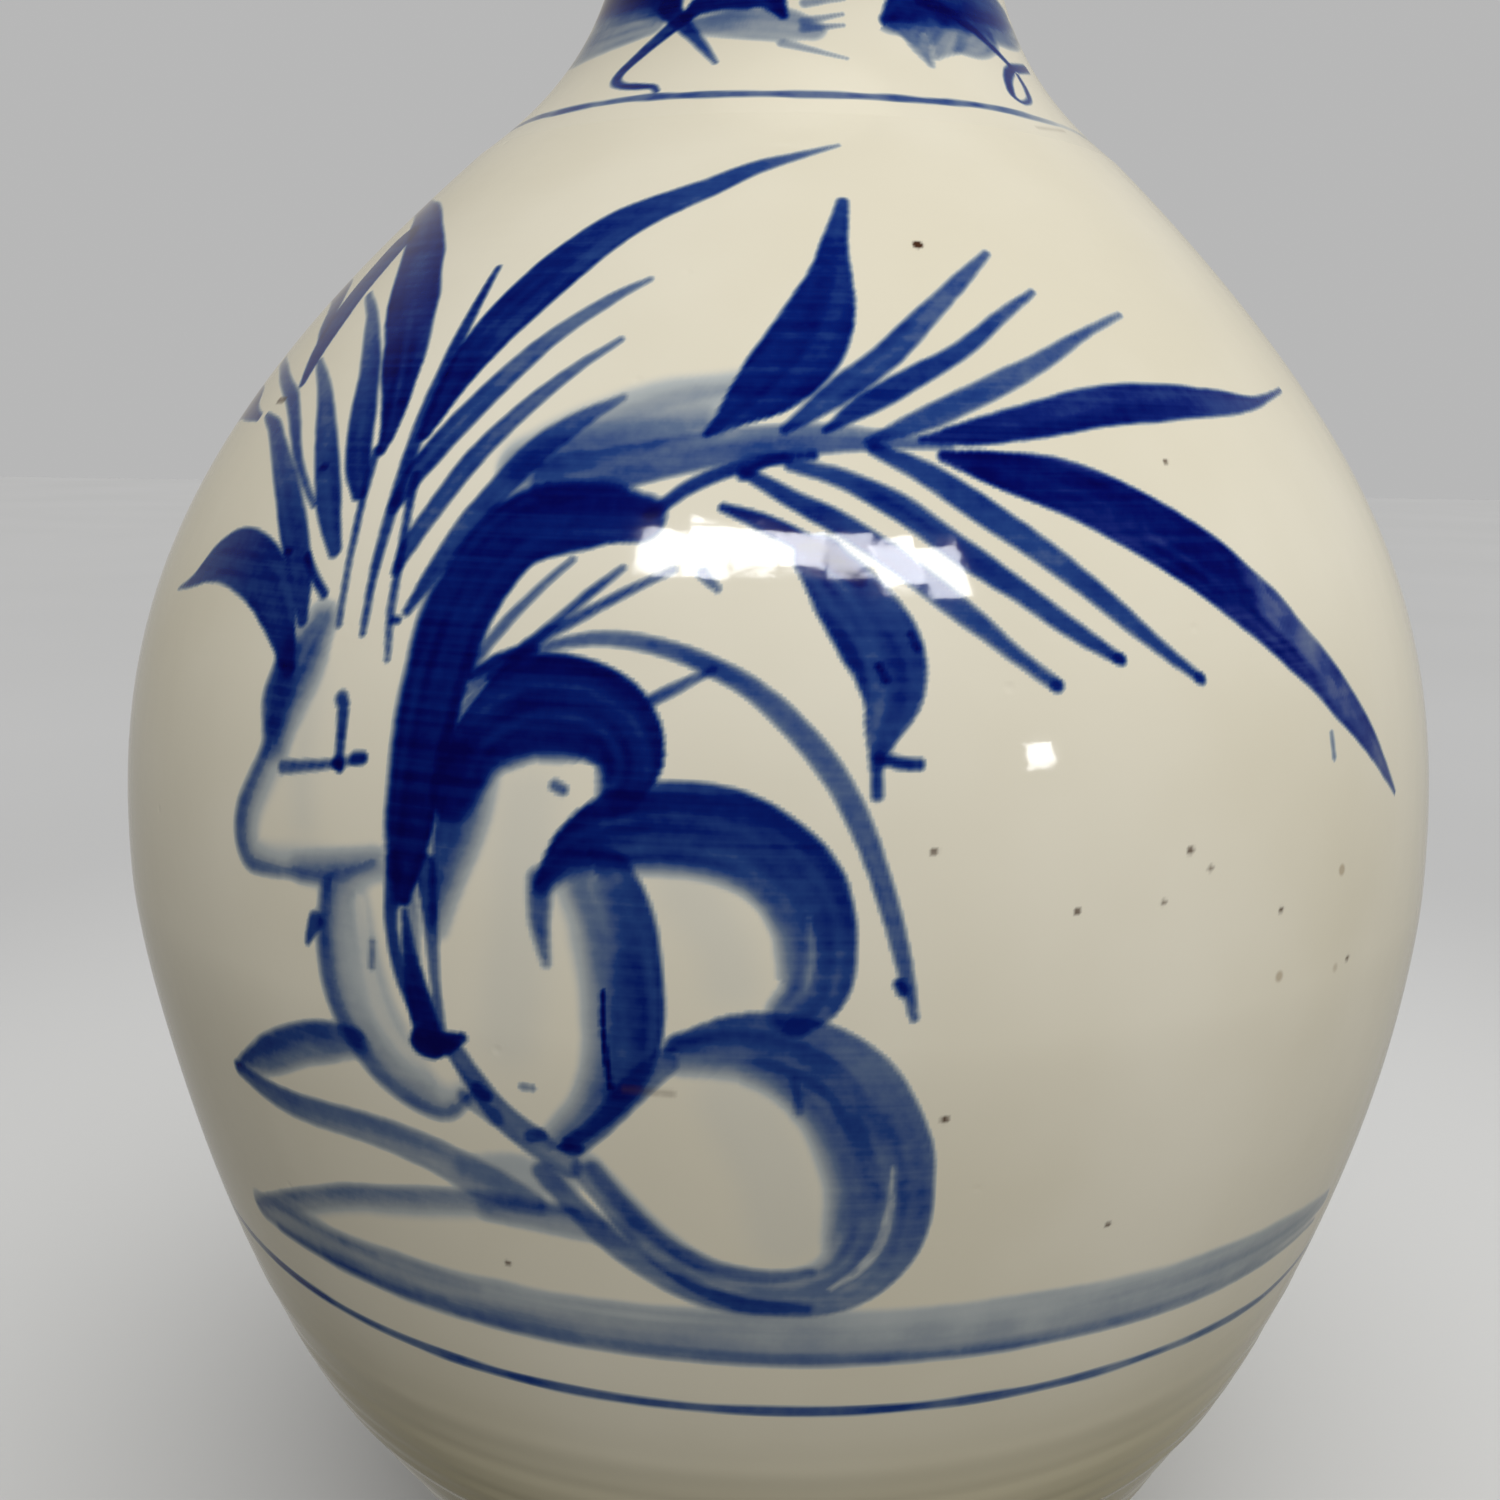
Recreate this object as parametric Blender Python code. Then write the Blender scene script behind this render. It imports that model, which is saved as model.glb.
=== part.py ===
"""A large porcelain sake bottle: a body thrown in two sections, a neck, and a two-piece stopper.

Metres, +Z up. The origin is the centre of the foot ring on the surface that the bottle stands on.
Every piece is turned about the Z axis, so each one starts as an outline of (radius, height) points.
"""

import math

import bmesh
import bpy

# The body
BELLY_RADIUS = 0.0760
BELLY_HEIGHT = 0.0905
BODY_WALL = 0.0055
BASE_THICKNESS = 0.0070

# The foot ring, trimmed on the wheel
FOOT_RADIUS = 0.0415
FOOT_HEIGHT = 0.0060
FOOT_RING_WIDTH = 0.0064
FOOT_CHAMFER = 0.0010
FOOT_RECESS_DEPTH = 0.0040

# The shoulder seam, where the neck is luted on
SHOULDER_RADIUS = 0.0372
SHOULDER_HEIGHT = 0.1659

# The neck and the lip
WAIST_RADIUS = 0.0205
WAIST_HEIGHT = 0.1995
NECK_WALL = 0.0055
NECK_TOP_RADIUS = 0.0226
MOUTH_HEIGHT = 0.2385
LIP_RADIUS = 0.0255
LIP_BEAD_RADIUS = 0.0040
MOUTH_BORE_RADIUS = 0.0170
MOUTH_ROUND = 0.0020

# The stopper
CORK_DEPTH = 0.0220
CORK_STANDS_UP = 0.0040
CORK_CHAMFER = 0.0008
SPIGOT_RADIUS = 0.0040
SPIGOT_LENGTH = 0.0130
SPIGOT_CHAMFER = 0.0008
KNOB_RADIUS = 0.0195
KNOB_HEIGHT = 0.0150
KNOB_TOP_ROUND = 0.0060
KNOB_FOOT_ROUND = 0.0015
KNOB_CROWN = 0.0010
GROOVE_DEPTH = 0.0008
GROOVE_WIDTH = 0.0020
GROOVE_HEIGHT = 0.0050

# The clearances
SEAM_GAP = 0.0003
CORK_CLEARANCE = 0.0003
SPIGOT_CLEARANCE = 0.0003
KNOB_CLEARANCE = 0.0003

# How full each curve is: where its two handles lie, as shares of the way across and of the way up
LOWER_FULLNESS = ((0.741, 0.204), (1.0, 0.835))
UPPER_FULLNESS = ((0.0, 0.340), (0.165, 0.600))
NECK_FULLNESS = ((0.710, 0.270), (1.0, 0.560))
FLARE_FULLNESS = ((0.0, 0.350), (0.300, 0.750))

SEGMENTS = 56
LOWER_POINTS = 11
UPPER_POINTS = 9
NECK_POINTS = 8
FLARE_POINTS = 4
BEAD_POINTS = 6
ROUND_POINTS = 4

GLAZE = ((0.70, 0.66, 0.54, 1.0), 0.12)
CORK = ((0.43, 0.25, 0.13, 1.0), 0.85)
KNOB_WOOD = ((0.30, 0.16, 0.075, 1.0), 0.55)


def clear_scene():
    for old in list(bpy.data.objects):
        bpy.data.objects.remove(old)


def material(name, look):
    colour, roughness = look
    made = bpy.data.materials.new(name)
    made.use_nodes = True
    shader = made.node_tree.nodes["Principled BSDF"]
    shader.inputs["Base Color"].default_value = colour
    shader.inputs["Roughness"].default_value = roughness
    shader.inputs["Metallic"].default_value = 0.0
    return made


def curve(start, end, fullness, count):
    """A cubic curve from start to end, both kept, whose handles are shares of the way between them."""
    handles = [
        (start[0] + across * (end[0] - start[0]), start[1] + up * (end[1] - start[1]))
        for across, up in fullness
    ]
    corners = (start, *handles, end)
    points = []
    for step in range(count):
        t = step / (count - 1)
        weights = ((1 - t) ** 3, 3 * t * (1 - t) ** 2, 3 * t**2 * (1 - t), t**3)
        radius = sum(w * corner[0] for w, corner in zip(weights, corners))
        height = sum(w * corner[1] for w, corner in zip(weights, corners))
        points.append((radius, height))
    return points


def arc(centre, radius, first_degrees, last_degrees, count):
    points = []
    for step in range(count):
        angle = math.radians(first_degrees + (last_degrees - first_degrees) * step / (count - 1))
        points.append((centre[0] + radius * math.cos(angle), centre[1] + radius * math.sin(angle)))
    return points


def radius_at(outline, height):
    """The radius of an outline that only climbs, at a height. Past its ends it goes on straight up or down."""
    for (r0, h0), (r1, h1) in zip(outline, outline[1:]):
        if h0 <= height <= h1:
            return r0 + (r1 - r0) * (height - h0) / (h1 - h0)
    nearest = outline[0] if height < outline[0][1] else outline[-1]
    return nearest[0]


def between(outline, low, high):
    """The stretch of a climbing outline from one height to another, with both ends on it."""
    inside = [point for point in outline if low < point[1] < high]
    return [(radius_at(outline, low), low), *inside, (radius_at(outline, high), high)]


def wall_at(height):
    """The wall runs from the body's to the neck's between the shoulder and the waist."""
    share = (height - SHOULDER_HEIGHT) / (WAIST_HEIGHT - SHOULDER_HEIGHT)
    share = min(max(share, 0.0), 1.0)
    return BODY_WALL + (NECK_WALL - BODY_WALL) * share


def inset(outline):
    """The inside of the wall: each point moved in by the wall, square to the outline."""
    moved = []
    for index, (radius, height) in enumerate(outline):
        before = outline[max(index - 1, 0)]
        after = outline[min(index + 1, len(outline) - 1)]
        run, rise = after[0] - before[0], after[1] - before[1]
        length = math.hypot(run, rise)
        wall = wall_at(height)
        moved.append((radius - wall * rise / length, height + wall * run / length))
    return moved


def outside_outline():
    """The glazed outside from the top of the foot ring to the neck's waist."""
    belly = (BELLY_RADIUS, BELLY_HEIGHT)
    shoulder = (SHOULDER_RADIUS, SHOULDER_HEIGHT)
    lower = curve((FOOT_RADIUS, FOOT_HEIGHT), belly, LOWER_FULLNESS, LOWER_POINTS)
    upper = curve(belly, shoulder, UPPER_FULLNESS, UPPER_POINTS)
    neck = curve(shoulder, (WAIST_RADIUS, WAIST_HEIGHT), NECK_FULLNESS, NECK_POINTS)
    return lower + upper[1:] + neck[1:]


def bore_radius(height):
    """The neck's bore, a cone from its waist out to the mouth. The cork has the same taper."""
    waist_bore = WAIST_RADIUS - NECK_WALL
    share = (height - WAIST_HEIGHT) / (MOUTH_HEIGHT - WAIST_HEIGHT)
    return waist_bore + (MOUTH_BORE_RADIUS - waist_bore) * share


def turned(name, outline, closed, look):
    """Turns an outline round the Z axis. An open outline starts and ends on the axis."""
    mesh = bpy.data.meshes.new(name)
    shape = bmesh.new()
    corners = [shape.verts.new((radius, 0.0, height)) for radius, height in outline]
    ends = zip(corners, corners[1:] + corners[:1]) if closed else zip(corners, corners[1:])
    edges = [shape.edges.new(pair) for pair in ends]
    bmesh.ops.spin(
        shape,
        geom=corners + edges,
        cent=(0.0, 0.0, 0.0),
        axis=(0.0, 0.0, 1.0),
        angle=math.tau,
        steps=SEGMENTS,
        use_merge=True,
    )
    bmesh.ops.remove_doubles(shape, verts=shape.verts, dist=1e-6)
    bmesh.ops.recalc_face_normals(shape, faces=shape.faces)
    shape.to_mesh(mesh)
    shape.free()
    mesh.shade_smooth()
    mesh.set_sharp_from_angle(angle=math.radians(35))
    mesh.materials.append(material(name, look))
    made = bpy.data.objects.new(name, mesh)
    bpy.context.scene.collection.objects.link(made)
    return made


def lower_body(outside, inside):
    """The thrown bowl: belly, base and trimmed foot ring."""
    rim = BELLY_HEIGHT - SEAM_GAP / 2
    floor = FOOT_RECESS_DEPTH + BASE_THICKNESS
    ring_inside = FOOT_RADIUS - FOOT_RING_WIDTH
    inner = between(inside, floor, rim)
    outer = between(outside, FOOT_HEIGHT, rim)
    foot = [
        (FOOT_RADIUS, FOOT_CHAMFER),
        (FOOT_RADIUS - FOOT_CHAMFER, 0.0),
        (ring_inside + FOOT_CHAMFER, 0.0),
        (ring_inside, FOOT_CHAMFER),
        (ring_inside, FOOT_RECESS_DEPTH),
    ]
    outline = [(0.0, floor), *inner, *reversed(outer), *foot, (0.0, FOOT_RECESS_DEPTH)]
    return turned("lower_body", outline, False, GLAZE)


def upper_body(outside, inside):
    """The thrown shoulder, luted to the bowl at the belly."""
    low = BELLY_HEIGHT + SEAM_GAP / 2
    high = SHOULDER_HEIGHT - SEAM_GAP / 2
    outline = [*reversed(between(outside, low, high)), *between(inside, low, high)]
    return turned("upper_body", outline, True, GLAZE)


def neck(outside, inside):
    """The thrown neck, luted to the shoulder, with a rolled lip and a bore that tapers to the cork."""
    low = SHOULDER_HEIGHT + SEAM_GAP / 2
    bead_centre = (LIP_RADIUS - LIP_BEAD_RADIUS, MOUTH_HEIGHT - LIP_BEAD_RADIUS)
    bead = arc(bead_centre, LIP_BEAD_RADIUS, -60, 90, BEAD_POINTS)
    flare_top = (NECK_TOP_RADIUS, bead[0][1] - LIP_BEAD_RADIUS / 4)
    flare = curve((WAIST_RADIUS, WAIST_HEIGHT), flare_top, FLARE_FULLNESS, FLARE_POINTS)
    round_foot = MOUTH_HEIGHT - MOUTH_ROUND
    round_centre = (bore_radius(round_foot) + MOUTH_ROUND, round_foot)
    mouth = arc(round_centre, MOUTH_ROUND, 90, 180, ROUND_POINTS)
    outer = between(outside, low, WAIST_HEIGHT) + flare[1:] + bead
    waist_bore = (bore_radius(WAIST_HEIGHT), WAIST_HEIGHT)
    inner = [*between(inside, low, inside[-2][1]), waist_bore]
    outline = [*reversed(mouth), *reversed(outer), *inner]
    return turned("neck", outline, True, GLAZE)


def stopper_cork():
    """A tapered cork, a clearance inside the bore, with a blind hole for the knob's spigot."""
    foot = MOUTH_HEIGHT - CORK_DEPTH
    top = MOUTH_HEIGHT + CORK_STANDS_UP

    def side(height):
        return bore_radius(height) - CORK_CLEARANCE

    hole_radius = SPIGOT_RADIUS + SPIGOT_CLEARANCE
    hole_floor = top + KNOB_CLEARANCE - SPIGOT_LENGTH - SPIGOT_CLEARANCE
    outline = [
        (0.0, hole_floor),
        (hole_radius, hole_floor),
        (hole_radius, top),
        (side(top) - CORK_CHAMFER, top),
        (side(top - CORK_CHAMFER), top - CORK_CHAMFER),
        (side(foot + CORK_CHAMFER), foot + CORK_CHAMFER),
        (side(foot) - CORK_CHAMFER, foot),
        (0.0, foot),
    ]
    return turned("stopper_cork", outline, False, CORK)


def stopper_knob():
    """A turned wooden knob that sits on the cork, with a spigot glued into it."""
    seat = MOUTH_HEIGHT + CORK_STANDS_UP + KNOB_CLEARANCE
    top = seat + KNOB_HEIGHT
    tip = seat - SPIGOT_LENGTH
    top_centre = (KNOB_RADIUS - KNOB_TOP_ROUND, top - KNOB_CROWN - KNOB_TOP_ROUND)
    foot_centre = (KNOB_RADIUS - KNOB_FOOT_ROUND, seat + KNOB_FOOT_ROUND)
    groove = seat + GROOVE_HEIGHT
    outline = [
        (0.0, top),
        (top_centre[0] / 2, top - KNOB_CROWN / 4),
        *arc(top_centre, KNOB_TOP_ROUND, 90, 0, 2 * ROUND_POINTS),
        (KNOB_RADIUS, groove + GROOVE_WIDTH),
        (KNOB_RADIUS - GROOVE_DEPTH, groove + GROOVE_WIDTH / 2),
        (KNOB_RADIUS, groove),
        *arc(foot_centre, KNOB_FOOT_ROUND, 0, -90, ROUND_POINTS),
        (SPIGOT_RADIUS, seat),
        (SPIGOT_RADIUS, tip + SPIGOT_CHAMFER),
        (SPIGOT_RADIUS - SPIGOT_CHAMFER, tip),
        (0.0, tip),
    ]
    return turned("stopper_knob", outline, False, KNOB_WOOD)


def main():
    clear_scene()
    outside = outside_outline()
    inside = inset(outside)
    lower_body(outside, inside)
    upper_body(outside, inside)
    neck(outside, inside)
    stopper_cork()
    stopper_knob()


main()
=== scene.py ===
"""The looks of a large porcelain sake bottle painted in cobalt under a clear glaze.

Shapes are worked out in mm and written in metres. The painting is laid on the outside skin by a
brush: each stroke is a few (azimuth in degrees, height in mm) places and half widths in mm, chosen
one by one. Azimuth 0 faces the camera, and it grows to the right.
"""

import math

import bpy
import numpy as np
from mathutils import Matrix, Vector


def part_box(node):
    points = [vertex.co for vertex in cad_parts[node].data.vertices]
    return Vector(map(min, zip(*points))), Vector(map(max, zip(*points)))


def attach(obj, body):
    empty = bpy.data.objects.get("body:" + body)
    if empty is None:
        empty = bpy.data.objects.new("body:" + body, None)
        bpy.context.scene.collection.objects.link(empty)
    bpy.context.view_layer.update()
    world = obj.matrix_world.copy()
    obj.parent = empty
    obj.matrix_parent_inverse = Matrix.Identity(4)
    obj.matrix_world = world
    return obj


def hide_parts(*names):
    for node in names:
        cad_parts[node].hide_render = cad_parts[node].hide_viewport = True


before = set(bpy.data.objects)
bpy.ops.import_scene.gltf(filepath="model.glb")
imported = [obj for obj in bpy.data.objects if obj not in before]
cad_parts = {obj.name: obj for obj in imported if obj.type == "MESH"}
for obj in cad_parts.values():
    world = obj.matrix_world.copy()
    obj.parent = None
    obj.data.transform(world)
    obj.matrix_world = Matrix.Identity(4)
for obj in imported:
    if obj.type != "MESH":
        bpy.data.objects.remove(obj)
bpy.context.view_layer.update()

# The boxes of the CAD pieces, which give the sizes that both models share
BOWL_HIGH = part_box("lower_body")[1]
SHOULDER_LOW, SHOULDER_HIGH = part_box("upper_body")
NECK_LOW, NECK_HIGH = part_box("neck")
CORK_LOW, CORK_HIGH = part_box("stopper_cork")
KNOB_LOW, KNOB_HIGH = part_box("stopper_knob")

MM = 0.001

# The body, in mm
BELLY_RADIUS = BOWL_HIGH.x / MM
BELLY_HEIGHT = (BOWL_HIGH.z + SHOULDER_LOW.z) / 2 / MM
SEAM_HEIGHT = (SHOULDER_HIGH.z + NECK_LOW.z) / 2 / MM
MOUTH_HEIGHT = NECK_HIGH.z / MM
SHOULDER_RADIUS = 37.2
WAIST_RADIUS, WAIST_HEIGHT = 20.5, 199.5
NECK_TOP_RADIUS = 22.6
LIP_RADIUS, LIP_BEAD = 25.5, 4.0
WALL = 5.5
FLOOR_THICKNESS = 7.0
FOOT_RADIUS, FOOT_HEIGHT, FOOT_WIDTH = 41.5, 6.0, 6.4
FOOT_ROUND, FOOT_RECESS = 1.0, 4.0
MOUTH_BORE, MOUTH_ROUND = 17.0, 2.0
AXIS_GAP = 0.6

# How full each curve is: where its two handles lie, as shares of the way across and of the way up
LOWER_FULLNESS = ((0.741, 0.204), (1.0, 0.835))
UPPER_FULLNESS = ((0.0, 0.340), (0.165, 0.600))
NECK_FULLNESS = ((0.710, 0.270), (1.0, 0.560))
FLARE_FULLNESS = ((0.0, 0.350), (0.300, 0.750))

# The throwing ridges above the foot: how deep, and how far apart the coarse and the fine ones are
RIDGE = 0.5
RIDGE_COARSE, RIDGE_FINE = 3.6, 1.7

# How far the thrown body leans off its axis, in mm, at each height
LEAN = (
    (0, 1.4), (10, 1.4), (25, 0.4), (45, 0.0), (70, 0.0), (90, -0.4),
    (110, -0.5), (125, -0.4), (150, 0.0), (169, 0.75), (199, 1.2), (240, 0.0),
)

# The grid of the outside skin
FRONT_FROM, FRONT_TO = -76.0, 66.0
FRONT_STEP, BACK_STEP = 0.22, 0.55
PAINT_LOW, PAINT_HIGH = 50.0, 187.0
PAINT_STEP, PLAIN_STEP = 0.28, 0.75
INSIDE_STEP, UNDER_STEP = 2.2, 0.8


# Outlines, in mm: (radius, height) points


def curve(start, end, fullness, count=60):
    """A cubic curve from start to end, whose handles are shares of the way between them."""
    corners = [start]
    for across, up in fullness:
        corners.append((start[0] + across * (end[0] - start[0]), start[1] + up * (end[1] - start[1])))
    corners.append(end)
    points = []
    for step in range(count):
        t = step / (count - 1)
        weights = ((1 - t) ** 3, 3 * t * (1 - t) ** 2, 3 * t**2 * (1 - t), t**3)
        radius = sum(w * corner[0] for w, corner in zip(weights, corners))
        height = sum(w * corner[1] for w, corner in zip(weights, corners))
        points.append((radius, height))
    return points


def arc(centre, radius, first, last, count):
    """Points round part of a circle, between two angles in degrees."""
    points = []
    for angle in np.radians(np.linspace(first, last, count)):
        points.append((centre[0] + radius * math.cos(angle), centre[1] + radius * math.sin(angle)))
    return points


def spaced(points, step):
    """The same line with new points along it, ends kept. step is a length, or gives one for a height."""
    line = np.array(points)
    travel = np.concatenate([[0.0], np.cumsum(np.hypot(*np.diff(line, axis=0).T))])
    stops = [0.0]
    while stops[-1] < travel[-1]:
        height = np.interp(stops[-1], travel, line[:, 1])
        stops.append(stops[-1] + (step(height) if callable(step) else step))
    stops = np.array(stops) * travel[-1] / stops[-1]
    return np.column_stack([np.interp(stops, travel, line[:, 0]), np.interp(stops, travel, line[:, 1])])


def moved_in(line, wall):
    """A line moved square to itself, towards the inside."""
    run = np.gradient(line, axis=0)
    run /= np.hypot(run[:, 0], run[:, 1])[:, None]
    return line + wall * np.column_stack([-run[:, 1], run[:, 0]])


def skin_step(height):
    return PAINT_STEP if PAINT_LOW < height < PAINT_HIGH else PLAIN_STEP


def thrown(line):
    """The lower wall with the low ridges that the potter's fingers left on it."""
    radius, height = line.T
    share = eased((52.0 - height) / 16.0) * eased((height - 9.0) / 6.0)
    coarse = noise(height / RIDGE_COARSE, 0 * height + 4.0, 31) - 0.5
    ridge = coarse + 0.6 * (noise(height / RIDGE_FINE, 0 * height, 32) - 0.5)
    return np.column_stack([radius + RIDGE * ridge * share, height])


def outlines():
    """Each glazed piece as a list of stretches, from its underside up the outside and down the inside."""
    belly, seam = (BELLY_RADIUS, BELLY_HEIGHT), (SHOULDER_RADIUS, SEAM_HEIGHT)
    waist = (WAIST_RADIUS, WAIST_HEIGHT)
    lower = curve((FOOT_RADIUS, FOOT_HEIGHT), belly, LOWER_FULLNESS)
    upper = curve(belly, seam, UPPER_FULLNESS)
    neck = curve(seam, waist, NECK_FULLNESS)
    bead = arc((LIP_RADIUS - LIP_BEAD, MOUTH_HEIGHT - LIP_BEAD), LIP_BEAD, -60, 90, 24)
    flare = curve(waist, (NECK_TOP_RADIUS, bead[0][1] - LIP_BEAD / 4), FLARE_FULLNESS)

    ring_inside = FOOT_RADIUS - FOOT_WIDTH
    recess = [(AXIS_GAP, FOOT_RECESS), (ring_inside - 1.2, FOOT_RECESS), (ring_inside, FOOT_RECESS - 1.0)]
    contact = arc((ring_inside + FOOT_ROUND, FOOT_ROUND), FOOT_ROUND, 180, 270, 6)
    contact += arc((FOOT_RADIUS - FOOT_ROUND, FOOT_ROUND), FOOT_ROUND, 270, 360, 6)
    wall = np.array(lower + upper[1:] + neck[1:])
    inside = moved_in(wall, WALL)
    floor = FOOT_RECESS + FLOOR_THICKNESS

    def inside_between(low, high):
        return [tuple(point) for point in inside[::-1] if low < point[1] < high]

    bowl_inside = inside_between(floor + 1.5, BELLY_HEIGHT)
    belly_rim = (BELLY_RADIUS - WALL, BELLY_HEIGHT)
    seam_rim = (np.interp(SEAM_HEIGHT, inside[:, 1], inside[:, 0]), SEAM_HEIGHT)
    shoulder_inside = [seam_rim] + inside_between(BELLY_HEIGHT, SEAM_HEIGHT) + [belly_rim]
    neck_inside = inside_between(SEAM_HEIGHT, WAIST_HEIGHT - 4) + [seam_rim]
    mouth = arc((MOUTH_BORE + MOUTH_ROUND, MOUTH_HEIGHT - MOUTH_ROUND), MOUTH_ROUND, 90, 180, 10)
    bore = [(WAIST_RADIUS - WALL, WAIST_HEIGHT)]
    floor_line = [(bowl_inside[-1][0] - 2.5, floor), (AXIS_GAP, floor)]

    return {
        "glazed_lower_body": (
            ("under", spaced(recess + contact, UNDER_STEP)),
            ("skin", thrown(spaced([(FOOT_RADIUS, FOOT_ROUND)] + lower, skin_step))),
            ("inside", spaced([belly_rim] + bowl_inside + floor_line, INSIDE_STEP)),
        ),
        "glazed_upper_body": (
            ("skin", spaced(upper, skin_step)),
            ("inside", spaced(shoulder_inside, INSIDE_STEP)),
        ),
        "glazed_neck": (
            ("skin", spaced(neck + flare[1:] + bead, skin_step)),
            ("inside", spaced(mouth + bore + neck_inside, INSIDE_STEP)),
        ),
    }


def column_azimuths():
    """Azimuths once round, in degrees: closer together over the painted front."""
    front = np.arange(FRONT_FROM, FRONT_TO, FRONT_STEP)
    back = np.arange(FRONT_TO, FRONT_FROM + 360.0 - BACK_STEP / 2, BACK_STEP)
    return np.concatenate([front, back])


def lean(height):
    """The lean at each height, as a smooth line through LEAN."""
    heights, sideways = np.array(LEAN, float).T
    slopes = np.gradient(sideways, heights)
    spot = np.clip(np.searchsorted(heights, height) - 1, 0, len(heights) - 2)
    span = heights[spot + 1] - heights[spot]
    t = np.clip((height - heights[spot]) / span, 0.0, 1.0)
    return (
        (2 * t**3 - 3 * t**2 + 1) * sideways[spot]
        + (t**3 - 2 * t**2 + t) * span * slopes[spot]
        + (-2 * t**3 + 3 * t**2) * sideways[spot + 1]
        + (t**3 - t**2) * span * slopes[spot + 1]
    )


# Noise that is the same each run


def eased(x):
    x = np.clip(x, 0.0, 1.0)
    return x * x * (3 - 2 * x)


def lattice(i, j, seed):
    raw = np.sin(i * 12.9898 + j * 78.233 + seed * 37.719) * 43758.5453
    return raw - np.floor(raw)


def noise(x, y, seed):
    """Smooth noise from 0 to 1, whose features are about 1 across."""
    i, j = np.floor(x), np.floor(y)
    a, b = eased(x - i), eased(y - j)
    low = lattice(i, j, seed) * (1 - a) + lattice(i + 1, j, seed) * a
    high = lattice(i, j + 1, seed) * (1 - a) + lattice(i + 1, j + 1, seed) * a
    return low * (1 - b) + high * b


# The brush

# How close the samples of a stroke are, its least half width, how ragged its sides are, and the sizes
# of its bristle marks and blotches, in mm
RUN_STEP = 0.4
THINNEST = 0.05
RAGGED_WIDE, RAGGED_FINE = 0.10, 0.07
BRISTLE_LENGTH, BRISTLE_WIDTH, BLOTCH = 11.0, 0.75, 3.4


class Skin:
    """The outside skin as a grid of rows up and columns round, with the paint on it."""

    def __init__(self, line, azimuths):
        self.radius, self.height = line[:, 0], line[:, 1]
        self.azimuth = azimuths
        self.travel = np.concatenate([[0.0], np.cumsum(np.hypot(*np.diff(line, axis=0).T))])
        shape = (len(line), len(azimuths))
        self.cobalt = np.zeros(shape)
        self.violet = np.zeros(shape)
        self.iron = np.zeros(shape)
        self.strokes = 0

    def travel_at(self, height):
        return np.interp(height, self.height, self.travel)

    def radius_at(self, height):
        return np.interp(height, self.height, self.radius)

    def around(self, azimuth):
        """Each column's angle from an azimuth, from -180 to 180."""
        return (self.azimuth - azimuth + 180.0) % 360.0 - 180.0


def run_through(skin, points):
    """Samples of (azimuth, height, half width) along a smooth curve through the points."""
    knots = np.array(points, float)
    padded = np.vstack([2 * knots[0] - knots[1], knots, 2 * knots[-1] - knots[-2]])
    runs = []
    for k in range(1, len(padded) - 2):
        p0, p1, p2, p3 = padded[k - 1 : k + 3]
        across = math.radians(p2[0] - p1[0]) * skin.radius_at((p1[1] + p2[1]) / 2)
        up = skin.travel_at(p2[1]) - skin.travel_at(p1[1])
        count = max(2, math.ceil(math.hypot(across, up) / RUN_STEP))
        t = (np.arange(count) / count)[:, None]
        runs.append(
            0.5 * (2 * p1 + (p2 - p0) * t + (2 * p0 - 5 * p1 + 4 * p2 - p3) * t**2
                   + (3 * p1 - p0 - 3 * p2 + p3) * t**3)
        )
    runs.append(knots[-1:])
    run = np.vstack(runs)
    run[:, 2] = np.maximum(run[:, 2], THINNEST)
    return run


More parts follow.
